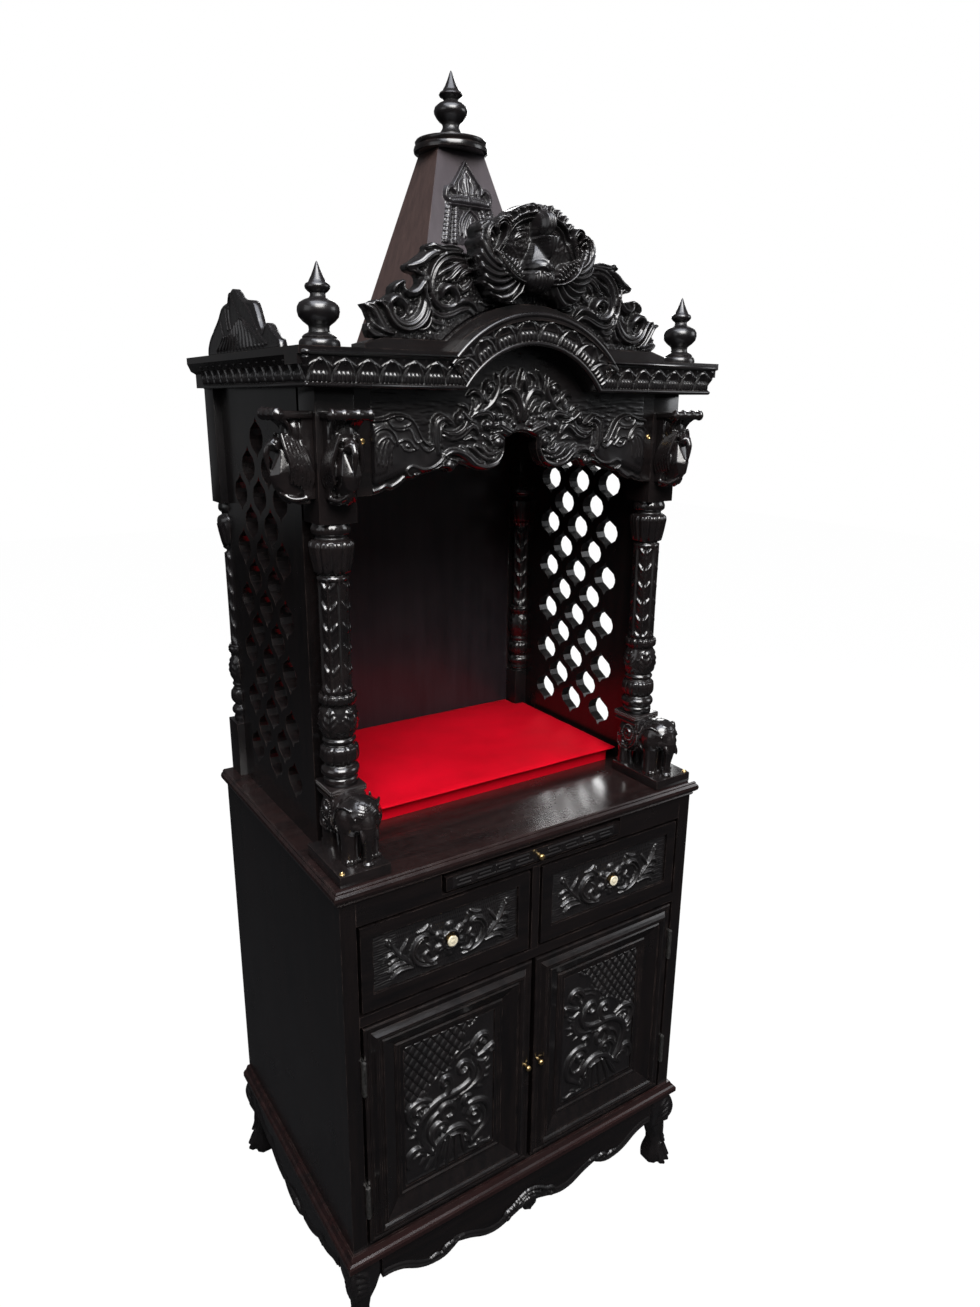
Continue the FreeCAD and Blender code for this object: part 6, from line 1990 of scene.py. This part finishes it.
def carveSideCrest(look):
    outline = [(look["back"] - d, roofTop + h) for d, h in curvePoints(look["rows"], 5)]
    g = patch(look["front"], look["back"], roofTop, roofTop + look["tall"], look["cell"], 0.6)
    uu, vv = np.meshgrid(g["u"], g["v"])
    roughen(g, look["marks"])
    # fan of flutes that rises from the foot
    fan = look["fan"]
    for k in range(fan["lines"]):
        t = k / (fan["lines"] - 1)
        y0 = fan["from"][0] + t * (fan["from"][1] - fan["from"][0])
        y1 = fan["to"][0] + t * (fan["to"][1] - fan["to"][0])
        top = fan["high"][0] + (fan["high"][1] - fan["high"][0]) * math.sin(math.pi * min(1.0, 1.25 * t))
        flute = [(y0, fan["low"]), ((y0 + y1) / 2 - 2, (fan["low"] + top) / 2), (y1, top)]
        stroke(g, flute, (3.4, 3.6, 1.4), 2.8)
    carve(g, look["strokes"], (1,))
    d, _, _ = edgeDistance(np.array(outline), uu, vv)
    g["h"] = np.maximum(g["h"], 1.6 * np.exp(-((d - 4.0) / 1.6) ** 2))
    g["h"] = softened(g["h"])
    return boardMesh("sideCrestBoard", g, outline, sideOf(look["outer"]), sideOf(look["inner"], -1), drop=1.2,
                     backRelief=0.8)


rightCrest = carveSideCrest(sideCrestLook)
leftCrest = mirroredCopy(rightCrest, "leftCrestBoard")
sideCrestPieces = joined("sideCrestCarving", [rightCrest, leftCrest])
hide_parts("side_crests")
finish(sideCrestPieces, "cabinet", carvedDark)
print("side crests carved", len(sideCrestPieces.data.polygons))

# spire front: a pointed arch over a pair of ringed columns on each side
spireLook = {
    "cell": 1.1, "low": 1487.0, "base": -77.0, "lean": 0.2624, "field": (-57, 57, 1640, 1758),
    "relief": 1.5, "marks": ((0.3, 2.0, 2.0, 61),),
    "outline": [(0, 1758), (10, 1745), (20, 1732), (27, 1724), (38, 1719), (42, 1704), (40, 1692), (56, 1638)],
    "columns": [((33, 1690), (46, 1642), 4.6), ((22, 1690), (31, 1642), 4.2)]}
spireLook["strokes"] = [
    ("round", [(0, 1754), (8, 1741), (17, 1728), (23, 1719), (21, 1710)], 2.2, 4.6),
    ("round", [(0, 1745), (7, 1733), (14, 1723), (15, 1711)], 1.5, 3.0),
    ("leaf", [(0, 1738), (0, 1725), (0, 1711)], (2, 6, 5), 3.4),
    ("vein", [(9, 1711), (11, 1720), (6, 1730)], (3, 3, 1), 3.0),
    ("vein", [(21, 1710), (27, 1717), (34, 1713), (37, 1703), (32, 1698)], (2.4, 3.4, 3.6, 3, 2),
     (4, 5.5, 6, 5, 4)),
    ("leaf", [(0, 1701), (16, 1701.5), (31, 1699)], (6.4, 6.4, 5), 4.6),
    ("flat", [(0, 1692.5), (34, 1692.5)], 1.4, 5.4),
    ("round", [(0, 1689), (9, 1681), (17, 1669), (18, 1655)], 1.6, 3.4),
    ("round", [(0, 1682), (6, 1674), (11, 1663), (12, 1652)], 1.3, 2.6),
    ("leaf", [(0, 1677), (0, 1664), (0, 1648)], (2, 5.5, 5), 3.2),
    ("round", [(39, 1692), (47, 1665), (54, 1641)], 1.5, 2.6)]


def carveSpire(look):
    outline = mirroredOutline(curvePoints(look["outline"], 2))
    g = patch(*look["field"], look["cell"], 0.4)
    uu, vv = np.meshgrid(g["u"], g["v"])
    roughen(g, look["marks"])
    carve(g, look["strokes"])
    g["h"] *= look["relief"]
    for (x0, z0), (x1, z1), radius in look["columns"]:
        for sign in (1, -1):
            stroke(g, [(sign * x0, z0), (sign * x1, z1)], radius, 4.4, straight=True)
            # rings round the column
            for k in range(8):
                t = (k + 0.5) / 8
                x, z = x0 + (x1 - x0) * t, z0 + (z1 - z0) * t
                ring = [(sign * (x - radius), z + 0.6), (sign * x, z - 1.4), (sign * (x + radius), z + 0.2)]
                stroke(g, ring, 1.0, 6.0, straight=True)
    g["h"] = softened(g["h"])
    n = np.array((0.0, -1.0, look["lean"])) / math.hypot(1.0, look["lean"])

    def place(u, v, h):
        return np.stack([u, look["base"] + look["lean"] * (v - look["low"]), v], 1) + h[:, None] * n
    return sheetMesh("spireMotif", g, place, insideOf(np.array(outline), uu, vv))


greyCarved = woodMaterial("spireCarving", carvedLook | {
    "dark": (0.008, 0.0068, 0.008, 1), "light": (0.018, 0.015, 0.017, 1), "contrast": 0.7, "crevice": 1.0,
    "roughHigh": 0.34, "specular": 0.5, "wear": 0.45})
spireMotif = carveSpire(spireLook)
finish(spireMotif, "cabinet", greyCarved)
print("spire carved")

# back posts: half round carved shafts between square blocks
backPostLook = {"x": 288.0, "y": 225.0, "low": 898.0, "high": 1270.0, "squash": 0.782, "segments": 64,
                "step": 2.4, "shaft": (1036.0, 1196.0),
                "blocks": (((260, 203, 805), (316, 247, 899)), ((260, 203, 1269), (316, 247, 1465)),
                           ((287, 203, 897), (303, 226, 1271)), ((260, 236, 897), (289, 247, 1271)))}


def makeBackPost(look):
    turned = postCarving(postLook | look)
    shaft = lathe("backShaft", (0.0, 0.0), shaftRows(look), look["segments"], turned)
    move = Matrix.Translation((look["x"] * mm, look["y"] * mm, 0))
    shaft.data.transform(move @ Matrix.Scale(look["squash"], 4, (0, 1, 0)))
    rest = [bevelBlock("backBlock%d" % k, low, high, 1.2) for k, (low, high) in enumerate(look["blocks"])]
    return joined("rightBackPost", [shaft] + rest)


rightBack = makeBackPost(backPostLook)
leftBack = mirroredCopy(rightBack, "leftBackPost")
backPosts = joined("backPostsCarved", [rightBack, leftBack])
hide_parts("back_posts")
finish(backPosts, "cabinet", carvedDark)
print("back posts turned", len(backPosts.data.polygons))

# velvet pad on the platform
velvetLook = {"cell": 4.6, "field": (-278, 278, -89, 238), "top": 832.4, "under": 829.2, "crown": 2.6,
              "marks": ((0.55, 14.0, 9.0, 91), (0.25, 5.0, 4.0, 92))}
velvetLook["outline"] = [
    (-277, -88), (277, -88), (277, 201), (258, 201), (258, 236.5), (-258, 236.5), (-258, 201), (-277, 201)]


def makePad(look):
    g = patch(*look["field"], look["cell"])
    uu, vv = np.meshgrid(g["u"], g["v"])
    outline = np.array(look["outline"], dtype=float)
    d, _, _ = edgeDistance(outline, uu, vv)
    g["h"] += look["crown"] * (1 - np.exp(-d / 26.0))
    roughen(g, look["marks"])
    # a fold from where the cloth was stretched at each front corner
    for sign in (-1, 1):
        crease = np.abs((vv + 88) - 0.62 * (277 - sign * uu)) / 5.0
        g["h"] += 0.9 * np.exp(-crease ** 2) * np.exp(-np.hypot(uu - sign * 277, vv + 88) / 70.0)
    return boardMesh("velvetPad", g, outline, topOf(look["top"]), topOf(look["under"]), round=9.0, drop=2.0)


velvetPad = makePad(velvetLook)
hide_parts("platform_cover")
finish(velvetPad, "cabinet", redVelvet)
print("pad made")

# cup washers and screws at the valance ends and on the elephant plinths
screwLook = {"rows": [(0, 0), (4.2, 0), (4.2, 0.7), (3.6, 1.7), (2.6, 2.0), (1.9, 1.3), (0, 1.3)],
             "front": [(243.0, -161.0, 1378.0), (-243.0, -161.0, 1378.0)],
             "up": [(318.0, -219.0, 822.0), (-318.0, -219.0, 822.0)]}


def makeScrews(look):
    made = [pull("screw", place, look["rows"], 20) for place in look["front"]]
    for x, y, z in look["up"]:
        obj = lathe("screw", (x, y), [(r, z + h) for r, h in look["rows"]], 20)
        softEdges(obj, 45)
        made.append(obj)
    return joined("brassScrews", made)


screws = makeScrews(screwLook)
finish(screws, "cabinet", brass)
print("screws placed")


# camera at the photo's place, plain floor and soft studio light
view = {"place": (-0.7316, -1.1857, 1.4276), "yaw": 33.756, "pitch": -16.058, "roll": 0.640, "focal": 874.0,
        "wide": 980, "high": 1307}


def makeCamera():
    data = bpy.data.cameras.new("photoCamera")
    cam = linked("photoCamera", data)
    data.sensor_fit = "AUTO"
    data.sensor_width = 36.0
    data.lens = 36.0 * view["focal"] / max(view["wide"], view["high"])
    yaw, pitch, roll = (math.radians(view[k]) for k in ("yaw", "pitch", "roll"))
    look = Vector((math.sin(yaw) * math.cos(pitch), math.cos(yaw) * math.cos(pitch), math.sin(pitch)))
    right = Vector((math.cos(yaw), -math.sin(yaw), 0))
    up = right.cross(look)
    r2 = math.cos(roll) * right + math.sin(roll) * up
    u2 = -math.sin(roll) * right + math.cos(roll) * up
    turn = Matrix((r2, u2, -look)).transposed().to_4x4()
    cam.matrix_world = Matrix.Translation(view["place"]) @ turn
    data.clip_start, data.clip_end = 0.05, 40
    bpy.context.scene.camera = cam


# white behind the object, a pale floor that throws back little light
stageLook = {"half": 9000, "floor": (0.022, 0.022, 0.023, 1), "glow": 0.99, "sky": (0.95, 0.97, 1.0, 1),
             "skyPower": 0.08}


def seenByCamera(tree, out, light, seen):
    # one shader lights the scene, the other is what the camera sees
    path = tree.nodes.new("ShaderNodeLightPath")
    mix = newNode(tree, "ShaderNodeMixShader", {0: path.outputs["Is Camera Ray"], 1: light.outputs[0],
                                                2: seen.outputs[0]})
    tree.links.new(mix.outputs[0], out.inputs[0])


def makeStage(look):
    q = look["half"]
    corners = [(-q, -q, 0), (q, -q, 0), (q, q, 0), (-q, q, 0)]
    floor = meshObject("studioFloor", corners, [(0, 1, 2, 3)], smooth=False)
    mat = bpy.data.materials.new("paleFloor")
    mat.use_nodes = True
    tree = mat.node_tree
    tree.nodes.clear()
    out = tree.nodes.new("ShaderNodeOutputMaterial")
    diffuse = newNode(tree, "ShaderNodeBsdfDiffuse", {"Color": look["floor"]})
    glow = newNode(tree, "ShaderNodeEmission", {"Strength": look["glow"]})
    both = newNode(tree, "ShaderNodeAddShader", {0: diffuse.outputs[0], 1: glow.outputs[0]})
    seenByCamera(tree, out, diffuse, both)
    floor.data.materials.append(mat)
    world = bpy.data.worlds.new("studioWorld")
    world.use_nodes = True
    bpy.context.scene.world = world
    tree = world.node_tree
    tree.nodes.clear()
    out = tree.nodes.new("ShaderNodeOutputWorld")
    soft = newNode(tree, "ShaderNodeBackground", {"Color": look["sky"], "Strength": look["skyPower"]})
    white = newNode(tree, "ShaderNodeBackground", {"Color": (1, 1, 1, 1), "Strength": 1.0})
    seenByCamera(tree, out, soft, white)


lamps = {"key": {"place": (-0.8, -2.3, 3.3), "size": 2.0, "power": 175, "colour": (1.0, 0.98, 0.95)},
         "fill": {"place": (2.6, -1.5, 2.2), "size": 1.2, "power": 16, "colour": (0.95, 0.97, 1.0)},
         "back": {"place": (1.9, 2.1, 2.3), "size": 1.6, "power": 55, "colour": (1.0, 1.0, 1.0)},
         "left": {"place": (-2.6, -0.4, 2.0), "size": 1.6, "power": 9, "colour": (0.95, 0.97, 1.0)},
         "sky": {"place": (-0.7, -1.3, 3.9), "size": 3.0, "power": 150, "colour": (0.88, 0.91, 1.0)}}


def makeLamps():
    for name, look in lamps.items():
        data = bpy.data.lights.new(name + "Lamp", "AREA")
        data.shape, data.size = "SQUARE", look["size"]
        data.energy, data.color = look["power"], look["colour"]
        lamp = linked(name + "Lamp", data)
        place = Vector(look["place"])
        lamp.location = place
        lamp.rotation_euler = (Vector((0, 0, 0.95)) - place).to_track_quat("-Z", "Y").to_euler()


makeCamera()
makeStage(stageLook)
makeLamps()
bpy.context.scene.view_settings.view_transform = "Standard"
bpy.context.view_layer.update()
print("scene ready")
